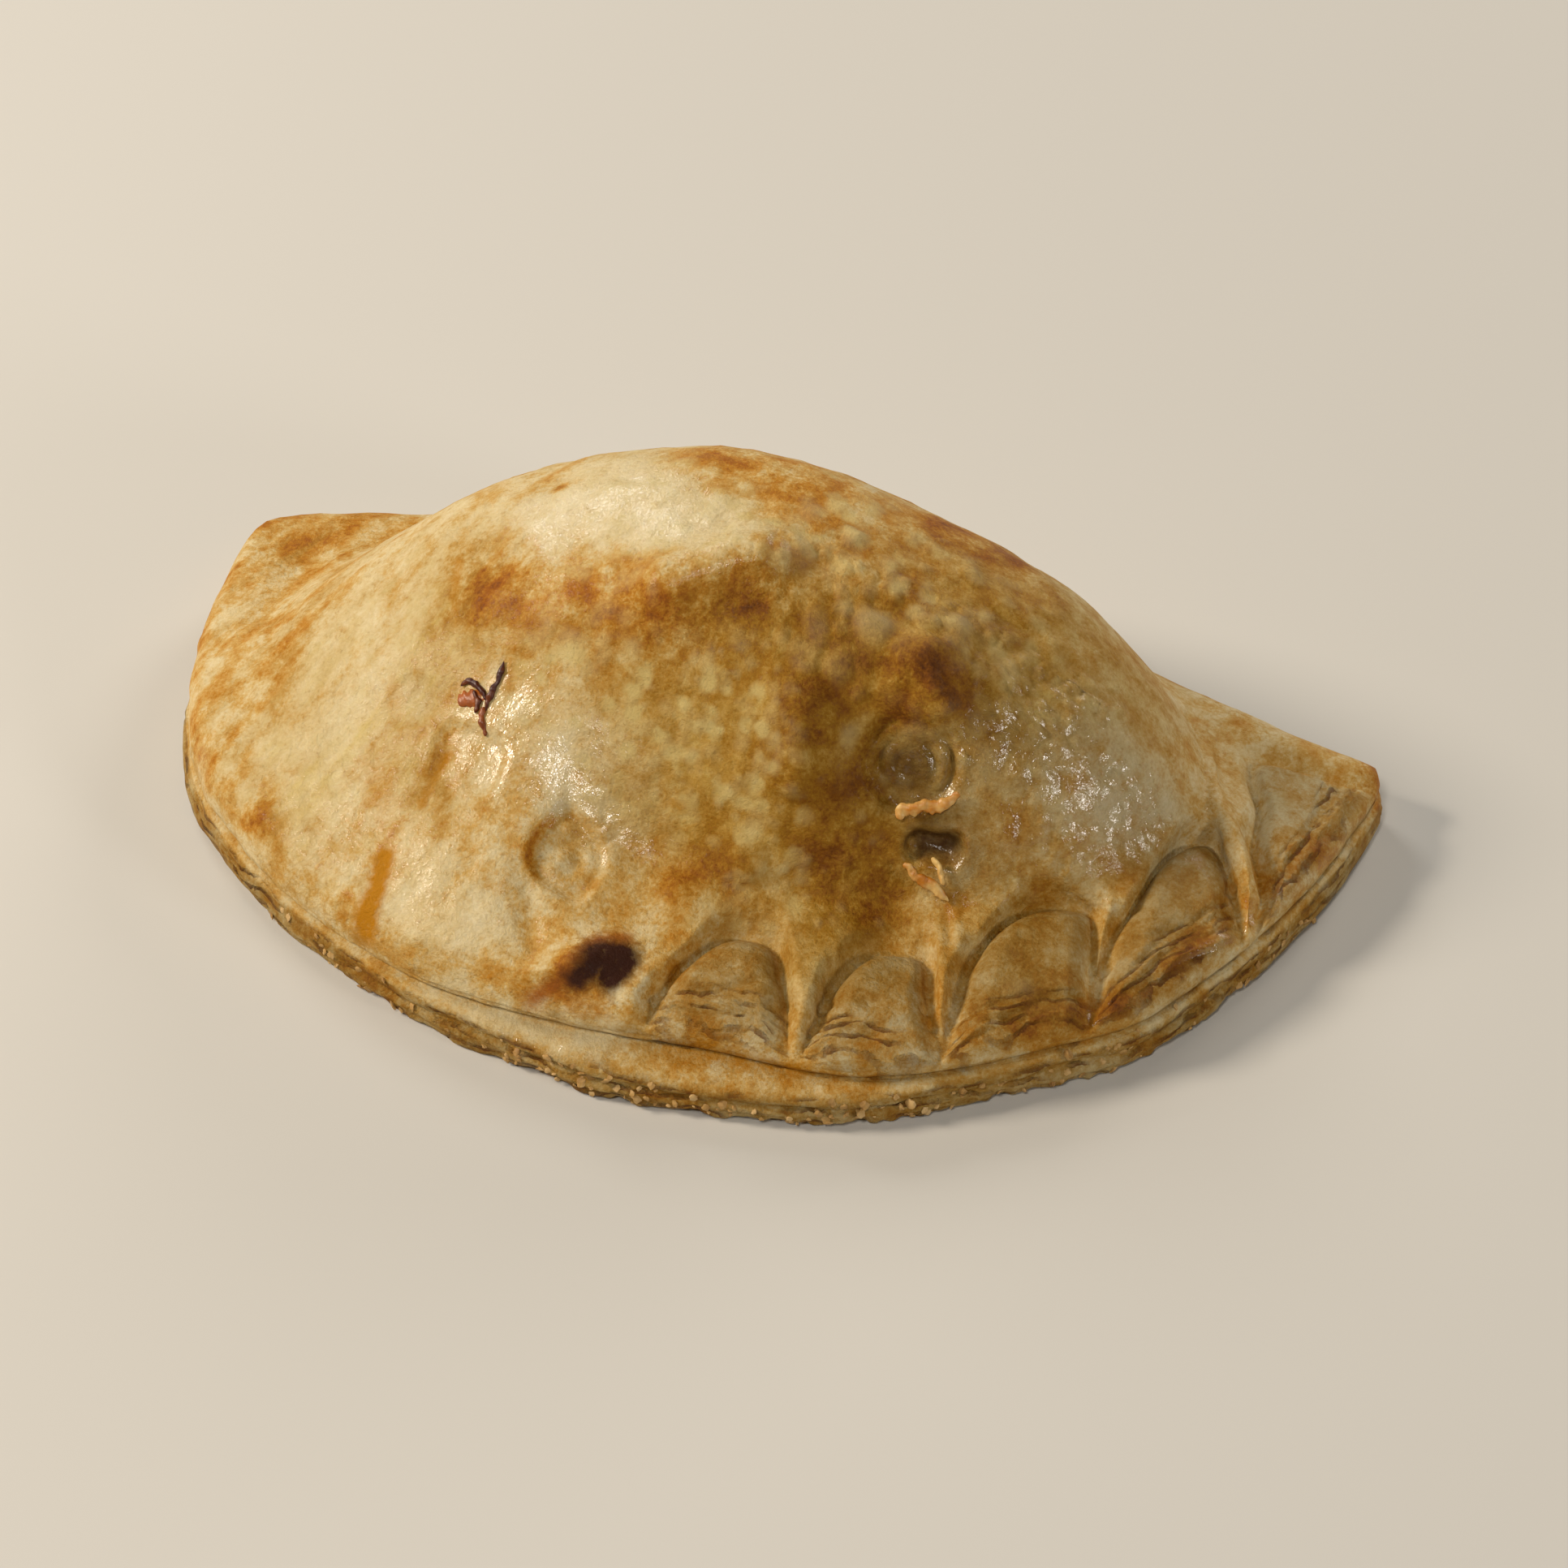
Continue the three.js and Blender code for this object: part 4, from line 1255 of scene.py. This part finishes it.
# A closed strand that follows a path over the crust, thinner to its ends
def lay_strand(strand, seed):
    line = picture_to_crust(strand.path)
    lift = filled_normal(line[:, 0], line[:, 1])
    middle = smooth_rows((line + strand.lift * lift).T, STRAND_RINGS).T
    over = smooth_rows(lift.T, STRAND_RINGS).T
    ahead = np.gradient(middle, axis=0)
    beside = np.cross(over, ahead)
    beside = beside / np.linalg.norm(beside, axis=1, keepdims=True)
    along = np.linspace(-1.0, 1.0, STRAND_RINGS)
    taper = (1 - STRAND_TAPER * np.abs(along) ** 3)[:, None, None]
    turn = 2 * np.pi * np.arange(STRAND_SIDES) / STRAND_SIDES
    ring = (strand.wide * np.cos(turn)[None, :, None] * beside[:, None, :]
            + strand.thick * np.sin(turn)[None, :, None] * over[:, None, :])
    skin = middle[:, None, :] + taper * ring
    uneven = 1.0
    for number, (amount, size) in enumerate(STRAND_UNEVEN):
        uneven = uneven + amount * cloud(skin, size, seed + number)
    skin = middle[:, None, :] + taper * ring * uneven[..., None]
    points = np.concatenate([skin.reshape(-1, 3), middle[:1], middle[-1:]])
    first, last = len(points) - 2, len(points) - 1
    faces = []
    for s in range(STRAND_SIDES):
        n = (s + 1) % STRAND_SIDES
        for r in range(STRAND_RINGS - 1):
            low, high = r * STRAND_SIDES, (r + 1) * STRAND_SIDES
            faces.append((low + s, low + n, high + n, high + s))
        faces.append((first, n, s))
        faces.append((last, high + s, high + n))
    return points, faces


# Several strands as one piece, with how charred each point is
def lay_strands(name, strands, material):
    points, faces, char = [], [], []
    for number, strand in enumerate(strands):
        made, joined = lay_strand(strand, STRAND_SEED + 3 * number)
        shift = sum(len(part) for part in points)
        points.append(made)
        faces += [tuple(int(corner) + shift for corner in face) for face in joined]
        uneven = CHAR_UNEVEN * cloud(made, CHAR_SIZE, CHAR_SEED + number)
        char.append(np.clip(strand.char + uneven, 0.0, 1.0))
    return make_piece(name, np.concatenate(points), faces, material, {"char": np.concatenate(char)})


# The part of the crust that bits hang on: faces of the sealed rim between two heights, and loose places
def rim_band(name, crust, heights, places):
    mesh = crust.data
    spots = np.empty(len(mesh.vertices) * 3)
    mesh.vertices.foreach_get("co", spots)
    spots = spots.reshape(-1, 3)
    x, y, z = (spots / MM + np.array([*DOUGH_MIDDLE, 0.0])).T
    angle = rim_angle(x, y)
    kept = (z > heights[0]) & (z < heights[1]) & (seal_inset(x, y) < ledge_width(angle))
    kept &= (angle > BAND_ANGLES[0]) & (angle < BAND_ANGLES[1])
    faces = [tuple(face.vertices) for face in mesh.polygons if kept[list(face.vertices)].all()]
    loose = np.zeros((0, 3))
    if places:
        loose = (picture_to_crust(places) - np.array([*DOUGH_MIDDLE, 0.0])) * MM
    used = np.unique([corner for face in faces for corner in face])
    renumber = {int(old): new for new, old in enumerate(used)}
    band = bpy.data.meshes.new(name)
    band.from_pydata(np.concatenate([spots[used], loose]).tolist(), [],
                     [tuple(renumber[corner] for corner in face) for face in faces])
    layer = band.attributes.new("loose", "BOOLEAN", "POINT")
    layer.data.foreach_set("value", np.arange(len(band.vertices)) >= len(used))
    return band


# Scatters small lumps over a band of the rim, with larger ones at its loose places
def scatter_tree():
    tree = bpy.data.node_groups.new("scatter_bits", "GeometryNodeTree")
    tree.interface.new_socket("Geometry", in_out="INPUT", socket_type="NodeSocketGeometry")
    for name in ("Density", "Smallest", "Largest", "Big", "Flatness", "Tilt"):
        tree.interface.new_socket(name, in_out="INPUT", socket_type="NodeSocketFloat")
    tree.interface.new_socket("Seed", in_out="INPUT", socket_type="NodeSocketInt")
    tree.interface.new_socket("Material", in_out="INPUT", socket_type="NodeSocketMaterial")
    tree.interface.new_socket("Geometry", in_out="OUTPUT", socket_type="NodeSocketGeometry")
    inlet = node(tree, "NodeGroupInput").outputs
    spread = node(tree, "GeometryNodeDistributePointsOnFaces", {
        "Mesh": inlet["Geometry"], "Density": inlet["Density"], "Seed": inlet["Seed"]}).outputs
    is_loose = node(tree, "GeometryNodeInputNamedAttribute", {"Name": "loose"},
                    data_type="BOOLEAN").outputs[0]
    hung = node(tree, "GeometryNodeMeshToPoints", {
        "Mesh": inlet["Geometry"], "Selection": is_loose}).outputs[0]
    lump = node(tree, "GeometryNodeMeshIcoSphere", {"Radius": 1.0, "Subdivisions": BIT_FACETS}).outputs[0]
    dent = node(tree, "ShaderNodeTexNoise", {"Scale": BIT_DENT_SCALE, "Detail": 1.0}).outputs[0]
    push = node(tree, "ShaderNodeMath", {0: dent, 1: BIT_DENT, 2: -BIT_DENT / 2},
                operation="MULTIPLY_ADD").outputs[0]
    facing = node(tree, "GeometryNodeInputNormal").outputs[0]
    offset = node(tree, "ShaderNodeVectorMath", {0: facing, "Scale": push}, operation="SCALE").outputs[0]
    rough = node(tree, "GeometryNodeSetPosition", {"Geometry": lump, "Offset": offset}).outputs[0]
    shape = node(tree, "ShaderNodeCombineXYZ", {0: 1.0, 1: 1.0, 2: inlet["Flatness"]}).outputs[0]
    flat = node(tree, "GeometryNodeTransform", {"Geometry": rough, "Scale": shape}).outputs[0]
    back = node(tree, "ShaderNodeMath", {0: inlet["Tilt"], 1: -1.0}, operation="MULTIPLY").outputs[0]
    low = node(tree, "ShaderNodeCombineXYZ", {0: back, 1: back, 2: 0.0}).outputs[0]
    high = node(tree, "ShaderNodeCombineXYZ", {
        0: inlet["Tilt"], 1: inlet["Tilt"], 2: 2 * math.pi}).outputs[0]
    spin = node(tree, "FunctionNodeRandomValue", {0: low, 1: high, "Seed": inlet["Seed"]},
                data_type="FLOAT_VECTOR").outputs[0]
    size = node(tree, "FunctionNodeRandomValue", {
        2: inlet["Smallest"], 3: inlet["Largest"], "Seed": inlet["Seed"]}, data_type="FLOAT").outputs[1]
    turned = node(tree, "FunctionNodeRotateRotation", {0: spread["Rotation"], 1: spin},
                  rotation_space="LOCAL").outputs[0]
    small = node(tree, "GeometryNodeInstanceOnPoints", {
        "Points": spread["Points"], "Instance": flat, "Rotation": turned, "Scale": size}).outputs[0]
    bigger = node(tree, "ShaderNodeMath", {0: size, 1: inlet["Big"]}, operation="MULTIPLY").outputs[0]
    large = node(tree, "GeometryNodeInstanceOnPoints", {
        "Points": hung, "Instance": flat, "Rotation": spin, "Scale": bigger}).outputs[0]
    both = node(tree, "GeometryNodeJoinGeometry")
    tree.links.new(small, both.inputs[0])
    tree.links.new(large, both.inputs[0])
    solid = node(tree, "GeometryNodeRealizeInstances", {0: both.outputs[0]}).outputs[0]
    finished = node(tree, "GeometryNodeSetMaterial", {
        "Geometry": solid, "Material": inlet["Material"]}).outputs[0]
    node(tree, "NodeGroupOutput", {0: finished})
    return tree


# One plain mesh of bits, grown on a band of the rim
def grow_bits(name, band, tree, sizes):
    piece = bpy.data.objects.new(name, band)
    bpy.context.scene.collection.objects.link(piece)
    growth = piece.modifiers.new("growth", "NODES")
    growth.node_group = tree
    for item in tree.interface.items_tree:
        if item.in_out == "INPUT" and item.name in sizes:
            growth[item.identifier] = sizes[item.name]
    seen = piece.evaluated_get(bpy.context.evaluated_depsgraph_get())
    grown = bpy.data.meshes.new_from_object(seen)
    piece.modifiers.clear()
    piece.data = grown
    grown.name = name
    return piece


# Materials

# One linear colour from an sRGB hex value
def paint(hex_colour):
    channels = [int(hex_colour[i:i + 2], 16) / 255 for i in (1, 3, 5)]
    linear = [c / 12.92 if c <= 0.04045 else ((c + 0.055) / 1.055) ** 2.4 for c in channels]
    return (*linear, 1.0)


# Scale of a pattern on Object coordinates whose features are `size` millimetres apart
def per_mm(size):
    return 1 / (size * MM)


# Adds a node with its settings, and links or sets its inputs
def node(tree, kind, inputs=None, stops=None, **settings):
    made = tree.nodes.new(kind)
    for name, value in settings.items():
        setattr(made, name, value)
    for socket, value in (inputs or {}).items():
        if isinstance(value, bpy.types.NodeSocket):
            tree.links.new(value, made.inputs[socket])
        else:
            made.inputs[socket].default_value = value
    if stops:
        ramp = made.color_ramp.elements
        while len(ramp) < len(stops):
            ramp.new(0.5)
        for element, (place, colour) in zip(ramp, stops):
            element.position = place
            element.color = paint(colour)
    return made


# A new material with an empty tree, and the place on its piece that the patterns read
def start_finish(name):
    material = bpy.data.materials.new(name)
    material.use_nodes = True
    tree = material.node_tree
    tree.nodes.clear()
    return material, tree, node(tree, "ShaderNodeTexCoord").outputs["Object"]


# Oven-baked shortcrust brushed with egg: matt cream dough that browns in feathery patches with pale islands
# between them, stays yellow and half clear where fat soaked it, shows reddish edges where its layers part,
# and sparkles where the wash lies thick. Its marks also carry painted shade in the presses, on the side
# of the rim, in the pits and on the far slopes.
def baked_shortcrust():
    material, tree, place = start_finish("baked_shortcrust")
    marks = {}
    for name in MARKS:
        marks[name] = node(tree, "ShaderNodeAttribute", attribute_name=name).outputs["Fac"]
    noise = {}
    for name, (size, detail, roughness) in CRUST_NOISES.items():
        noise[name] = node(tree, "ShaderNodeTexNoise", {
            "Vector": place, "Scale": per_mm(size), "Detail": detail, "Roughness": roughness}).outputs[0]
    moves = {}
    for name, pattern, reach in EDGE_MOVES:
        moves[name] = node(tree, "ShaderNodeMath", {0: noise[pattern], 1: reach, 2: -reach / 2},
                           operation="MULTIPLY_ADD").outputs[0]
    for name in RAGGED_MARKS:
        torn = node(tree, "ShaderNodeMath", {0: marks[name], 1: moves["ragged"]}, operation="ADD").outputs[0]
        marks[name] = node(tree, "ShaderNodeMapRange", {
            0: torn, 1: RAGGED_RANGE[0], 2: RAGGED_RANGE[1], 3: 0.0, 4: 1.0}).outputs[0]

    # Browning, moved to and fro by the patterns
    uneven = node(tree, "ShaderNodeMapRange", {
        0: noise["patch"], 1: PATCH_RANGE[0], 2: PATCH_RANGE[1], 3: -PATCH_MOVES, 4: PATCH_MOVES}).outputs[0]
    for name in ("fleck", "grain"):
        uneven = node(tree, "ShaderNodeMath", {0: uneven, 1: moves[name]}, operation="ADD").outputs[0]
    # The brown mark holds painted shade in places as well as browning
    share = node(tree, "ShaderNodeMath", {0: marks["brown"], 1: UNEVEN_BROWN, 2: UNEVEN_LEAST},
                 operation="MULTIPLY_ADD").outputs[0]
    browned = node(tree, "ShaderNodeMath", {0: uneven, 1: share, 2: marks["brown"]},
                   operation="MULTIPLY_ADD").outputs[0]
    dry = node(tree, "ShaderNodeValToRGB", {0: browned}, stops=DRY_BROWNING).outputs[0]
    soaked = node(tree, "ShaderNodeValToRGB", {0: browned}, stops=SOAKED_BROWNING).outputs[0]
    # Darker soaked colours where the fat mark is, which in places is painted shade
    soak_and_shade = node(tree, "ShaderNodeMath", {0: marks["butter_and_shade"], 1: moves["soak_and_shade"]}, operation="ADD",
                use_clamp=True).outputs[0]
    colour = node(tree, "ShaderNodeMix", {0: soak_and_shade, 6: dry, 7: soaked}, data_type="RGBA").outputs[2]

    # Pale islands between the brown
    wander = node(tree, "ShaderNodeTexNoise", {
        "Vector": place, "Scale": per_mm(ISLAND_WANDER_SIZE), "Detail": 3.0}).outputs[1]
    bent = node(tree, "ShaderNodeVectorMath", {0: wander, 1: (ISLAND_WANDER * MM,) * 3, 2: place},
                operation="MULTIPLY_ADD").outputs[0]
    island = node(tree, "ShaderNodeTexVoronoi", {
        "Vector": bent, "Scale": per_mm(ISLAND_SIZE), "Smoothness": ISLAND_SMOOTH},
        feature="SMOOTH_F1").outputs[0]
    raised = node(tree, "ShaderNodeMapRange", {
        0: island, 1: ISLAND_EDGE[0], 2: ISLAND_EDGE[1], 3: 1.0, 4: 0.0}).outputs[0]
    marks["mottle"] = node(tree, "ShaderNodeMath", {0: raised, 1: marks["mottle"]},
                           operation="MULTIPLY").outputs[0]

    # Broken lines where the baked layers part
    steps = node(tree, "ShaderNodeMath", {0: marks["level"], 1: 1 / CRACK_STEP},
                 operation="MULTIPLY").outputs[0]
    for name, reach in (("bend", CRACK_BEND), ("fleck", CRACK_FLECK)):
        steps = node(tree, "ShaderNodeMath", {0: noise[name], 1: reach, 2: steps},
                     operation="MULTIPLY_ADD").outputs[0]
    part = node(tree, "ShaderNodeMath", {0: steps}, operation="FRACT").outputs[0]
    crack = node(tree, "ShaderNodeMapRange", {0: part, 1: 0.0, 2: CRACK_WIDE, 3: 1.0, 4: 0.0}).outputs[0]
    tear = node(tree, "ShaderNodeMapRange", {
        0: noise["tear"], 1: CRACK_TEAR[0], 2: CRACK_TEAR[1], 3: 0.0, 4: 1.0}).outputs[0]
    for kept in (tear, marks["flaky"]):
        crack = node(tree, "ShaderNodeMath", {0: crack, 1: kept}, operation="MULTIPLY").outputs[0]
    noise["crack"] = crack
    marks["crack"] = node(tree, "ShaderNodeMath", {0: crack, 1: CRACK_DARK}, operation="MULTIPLY").outputs[0]
    for name, tint in MARK_TINTS:
        colour = node(tree, "ShaderNodeMix", {0: marks[name], 6: colour, 7: paint(tint)},
                      data_type="RGBA").outputs[2]

    # Egg wash, which lies in specks and not on the oil
    wash = node(tree, "ShaderNodeMath", {0: marks["glaze"], 1: moves["wash"]}, operation="ADD",
                use_clamp=True).outputs[0]
    washed = node(tree, "ShaderNodeMath", {0: wash, 1: marks["glaze"]}, operation="MULTIPLY").outputs[0]
    roughness = node(tree, "ShaderNodeMapRange", {
        0: washed, 1: 0.0, 2: 1.0, 3: DRY_ROUGHNESS, 4: WASHED_ROUGHNESS}).outputs[0]
    no_oil = node(tree, "ShaderNodeMath", {0: 1.0, 1: marks["oil"]}, operation="SUBTRACT").outputs[0]
    speck = node(tree, "ShaderNodeMapRange", {
        0: noise["grain"], 1: WASH_SPECKS[0], 2: WASH_SPECKS[1], 3: WASH_SPECK_LEAST, 4: 1.0}).outputs[0]
    coat = washed
    for kept in (WASH_WEIGHT, no_oil, speck):
        coat = node(tree, "ShaderNodeMath", {0: coat, 1: kept}, operation="MULTIPLY").outputs[0]

    normals = []
    for bumps in (DOUGH_BUMPS, WASH_BUMPS):
        inputs = {}
        for name, depth, strength, sunk in bumps:
            inputs.update({"Strength": strength, "Distance": depth * MM, "Height": noise[name]})
            inputs["Normal"] = node(tree, "ShaderNodeBump", inputs, invert=sunk).outputs[0]
        normals.append(inputs["Normal"])
    shader = node(tree, "ShaderNodeBsdfPrincipled", {
        "Base Color": colour, "Roughness": roughness, "IOR": DOUGH_IOR, "Specular IOR Level": 0.2,
        "Normal": normals[0], "Coat Weight": coat, "Coat Roughness": 0.15, "Coat IOR": 2.0,
        "Coat Normal": normals[1], "Subsurface Weight": 0.08, "Subsurface Radius": (1.0, 0.55, 0.25),
        "Subsurface Scale": 0.6 * MM})
    node(tree, "ShaderNodeOutputMaterial", {"Surface": shader.outputs[0]})
    return material


# Strips of pastry and filling that caught in the oven: dry orange crust that chars to a dark red-brown
def caught_pastry(name, clean, toasted, charred):
    material, tree, place = start_finish(name)
    char = node(tree, "ShaderNodeAttribute", attribute_name="char").outputs["Fac"]
    fleck = node(tree, "ShaderNodeTexNoise", {
        "Vector": place, "Scale": per_mm(CAUGHT_FLECK), "Detail": 4.0}).outputs[0]
    uneven = node(tree, "ShaderNodeMath", {0: fleck, 1: CAUGHT_MOVES, 2: -CAUGHT_MOVES / 2},
                  operation="MULTIPLY_ADD").outputs[0]
    burnt = node(tree, "ShaderNodeMath", {0: char, 1: uneven}, operation="ADD").outputs[0]
    colour = node(tree, "ShaderNodeValToRGB", {0: burnt}, stops=(
        (0.0, clean), (TOASTED_AT, toasted), (1.0, charred))).outputs[0]
    bump = node(tree, "ShaderNodeBump", {"Strength": 0.8, "Distance": CAUGHT_DENT * MM, "Height": fleck})
    shader = node(tree, "ShaderNodeBsdfPrincipled", {
        "Base Color": colour, "Roughness": CAUGHT_ROUGHNESS, "IOR": DOUGH_IOR, "Normal": bump.outputs[0]})
    node(tree, "ShaderNodeOutputMaterial", {"Surface": shader.outputs[0]})
    return material


# Crumbs of short dough broken from the edge: dry, pale gold and a little uneven
def pastry_crumb():
    material, tree, place = start_finish("pastry_crumb")
    batch = node(tree, "ShaderNodeTexNoise", {
        "Vector": place, "Scale": per_mm(CRUMB_BATCH), "Detail": 4.0}).outputs[0]
    colour = node(tree, "ShaderNodeValToRGB", {0: batch}, stops=CRUMB_BROWNING).outputs[0]
    bump = node(tree, "ShaderNodeBump", {"Strength": 0.7, "Distance": CRUMB_DENT * MM, "Height": batch})
    shader = node(tree, "ShaderNodeBsdfPrincipled", {
        "Base Color": colour, "Roughness": CRUMB_ROUGHNESS, "IOR": DOUGH_IOR, "Normal": bump.outputs[0]})
    node(tree, "ShaderNodeOutputMaterial", {"Surface": shader.outputs[0]})
    return material


# Matt pale floor: an even ground that takes a soft shadow and gives no reflection
def pale_floor():
    material = bpy.data.materials.new("matt_pale_floor")
    material.use_nodes = True
    shader = material.node_tree.nodes["Principled BSDF"]
    shader.inputs["Base Color"].default_value = paint("#ccc9c2")
    shader.inputs["Roughness"].default_value = 0.8
    return material


# Stage

def lay_floor(material):
    mesh = bpy.data.meshes.new("floor")
    corners = [(FLOOR_HALF * x, FLOOR_HALF * y, 0.0) for x, y in ((-1, -1), (1, -1), (1, 1), (-1, 1))]
    mesh.from_pydata(corners, [], [(0, 1, 2, 3)])
    mesh.materials.append(material)
    floor = bpy.data.objects.new("floor", mesh)
    bpy.context.scene.collection.objects.link(floor)
    return floor


# A soft box that looks at the middle of the part, from a direction given in the camera's terms
def hang_light(box):
    right, _, back = camera_axes()
    ahead = np.array([back[0], back[1], 0.0]) / math.hypot(back[0], back[1])
    direction = -box.left * right + box.toward * ahead + box.up * np.array([0.0, 0.0, 1.0])
    direction = Vector(direction / np.linalg.norm(direction))
    light = bpy.data.lights.new(box.name, "AREA")
    light.shape = "DISK"
    light.size = box.size
    light.energy = box.power
    light.color = paint(box.colour)[:3]
    lamp = bpy.data.objects.new(box.name, light)
    turn = direction.to_track_quat("Z", "Y").to_matrix().to_4x4()
    lamp.matrix_world = Matrix.Translation(direction * SOFT_BOX_AWAY) @ turn
    bpy.context.scene.collection.objects.link(lamp)
    return lamp


def light_stage():
    world = bpy.data.worlds.new("soft_room")
    world.use_nodes = True
    room = world.node_tree.nodes["Background"].inputs
    room["Color"].default_value = paint(ROOM_COLOUR)
    room["Strength"].default_value = ROOM_STRENGTH
    bpy.context.scene.world = world
    return [hang_light(box) for box in SOFT_BOXES]


def set_camera():
    right, up, back = camera_axes()
    camera = bpy.data.cameras.new("camera")
    camera.sensor_fit = "HORIZONTAL"
    camera.angle = math.radians(VIEW_ANGLE)
    holder = bpy.data.objects.new("camera", camera)
    eye = (np.array(VIEW_TARGET) + back * VIEW_DISTANCE) * MM
    axes = np.eye(4)
    axes[:3, 0], axes[:3, 1], axes[:3, 2], axes[:3, 3] = right, up, back, eye
    holder.matrix_world = Matrix(axes.tolist())
    bpy.context.scene.collection.objects.link(holder)
    bpy.context.scene.camera = holder


crust = bake_crust(baked_shortcrust())
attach(crust, "root")
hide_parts("empanada")

torn = caught_pastry("torn_toasted_pastry", "#e2bc72", "#bc741c", "#6a3408")
burst = caught_pastry("burst_charred_filling", "#c98a3a", "#a5561a", "#3c1006")
crumbly = pastry_crumb()
bits = scatter_tree()
trimmings = [
    lay_strands("vent_flakes", VENT_FLAKES, torn),
    lay_strands("filling_bit", FILLING_BITS, burst),
    grow_bits("rim_crumbs", rim_band("crumb_band", crust, CRUMB_BAND, CRUMB_PLACES), bits, {
        "Density": CRUMB_DENSITY * PER_SQUARE_CM, "Smallest": CRUMB_RADIUS[0] * MM,
        "Largest": CRUMB_RADIUS[1] * MM, "Big": BIG_CRUMB, "Flatness": CRUMB_FLATNESS, "Tilt": math.pi,
        "Seed": SEED, "Material": crumbly}),
    grow_bits("rim_flakes", rim_band("flake_band", crust, FLAKE_BAND, ()), bits, {
        "Density": FLAKE_DENSITY * PER_SQUARE_CM, "Smallest": FLAKE_RADIUS[0] * MM,
        "Largest": FLAKE_RADIUS[1] * MM, "Big": 1.0, "Flatness": FLAKE_FLATNESS,
        "Tilt": math.radians(FLAKE_TILT), "Seed": SEED + 1, "Material": crumbly}),
]
for piece in trimmings:
    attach(piece, "root")

floor = lay_floor(pale_floor())
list(light_stage())
set_camera()
bpy.context.scene.view_settings.view_transform = "Standard"
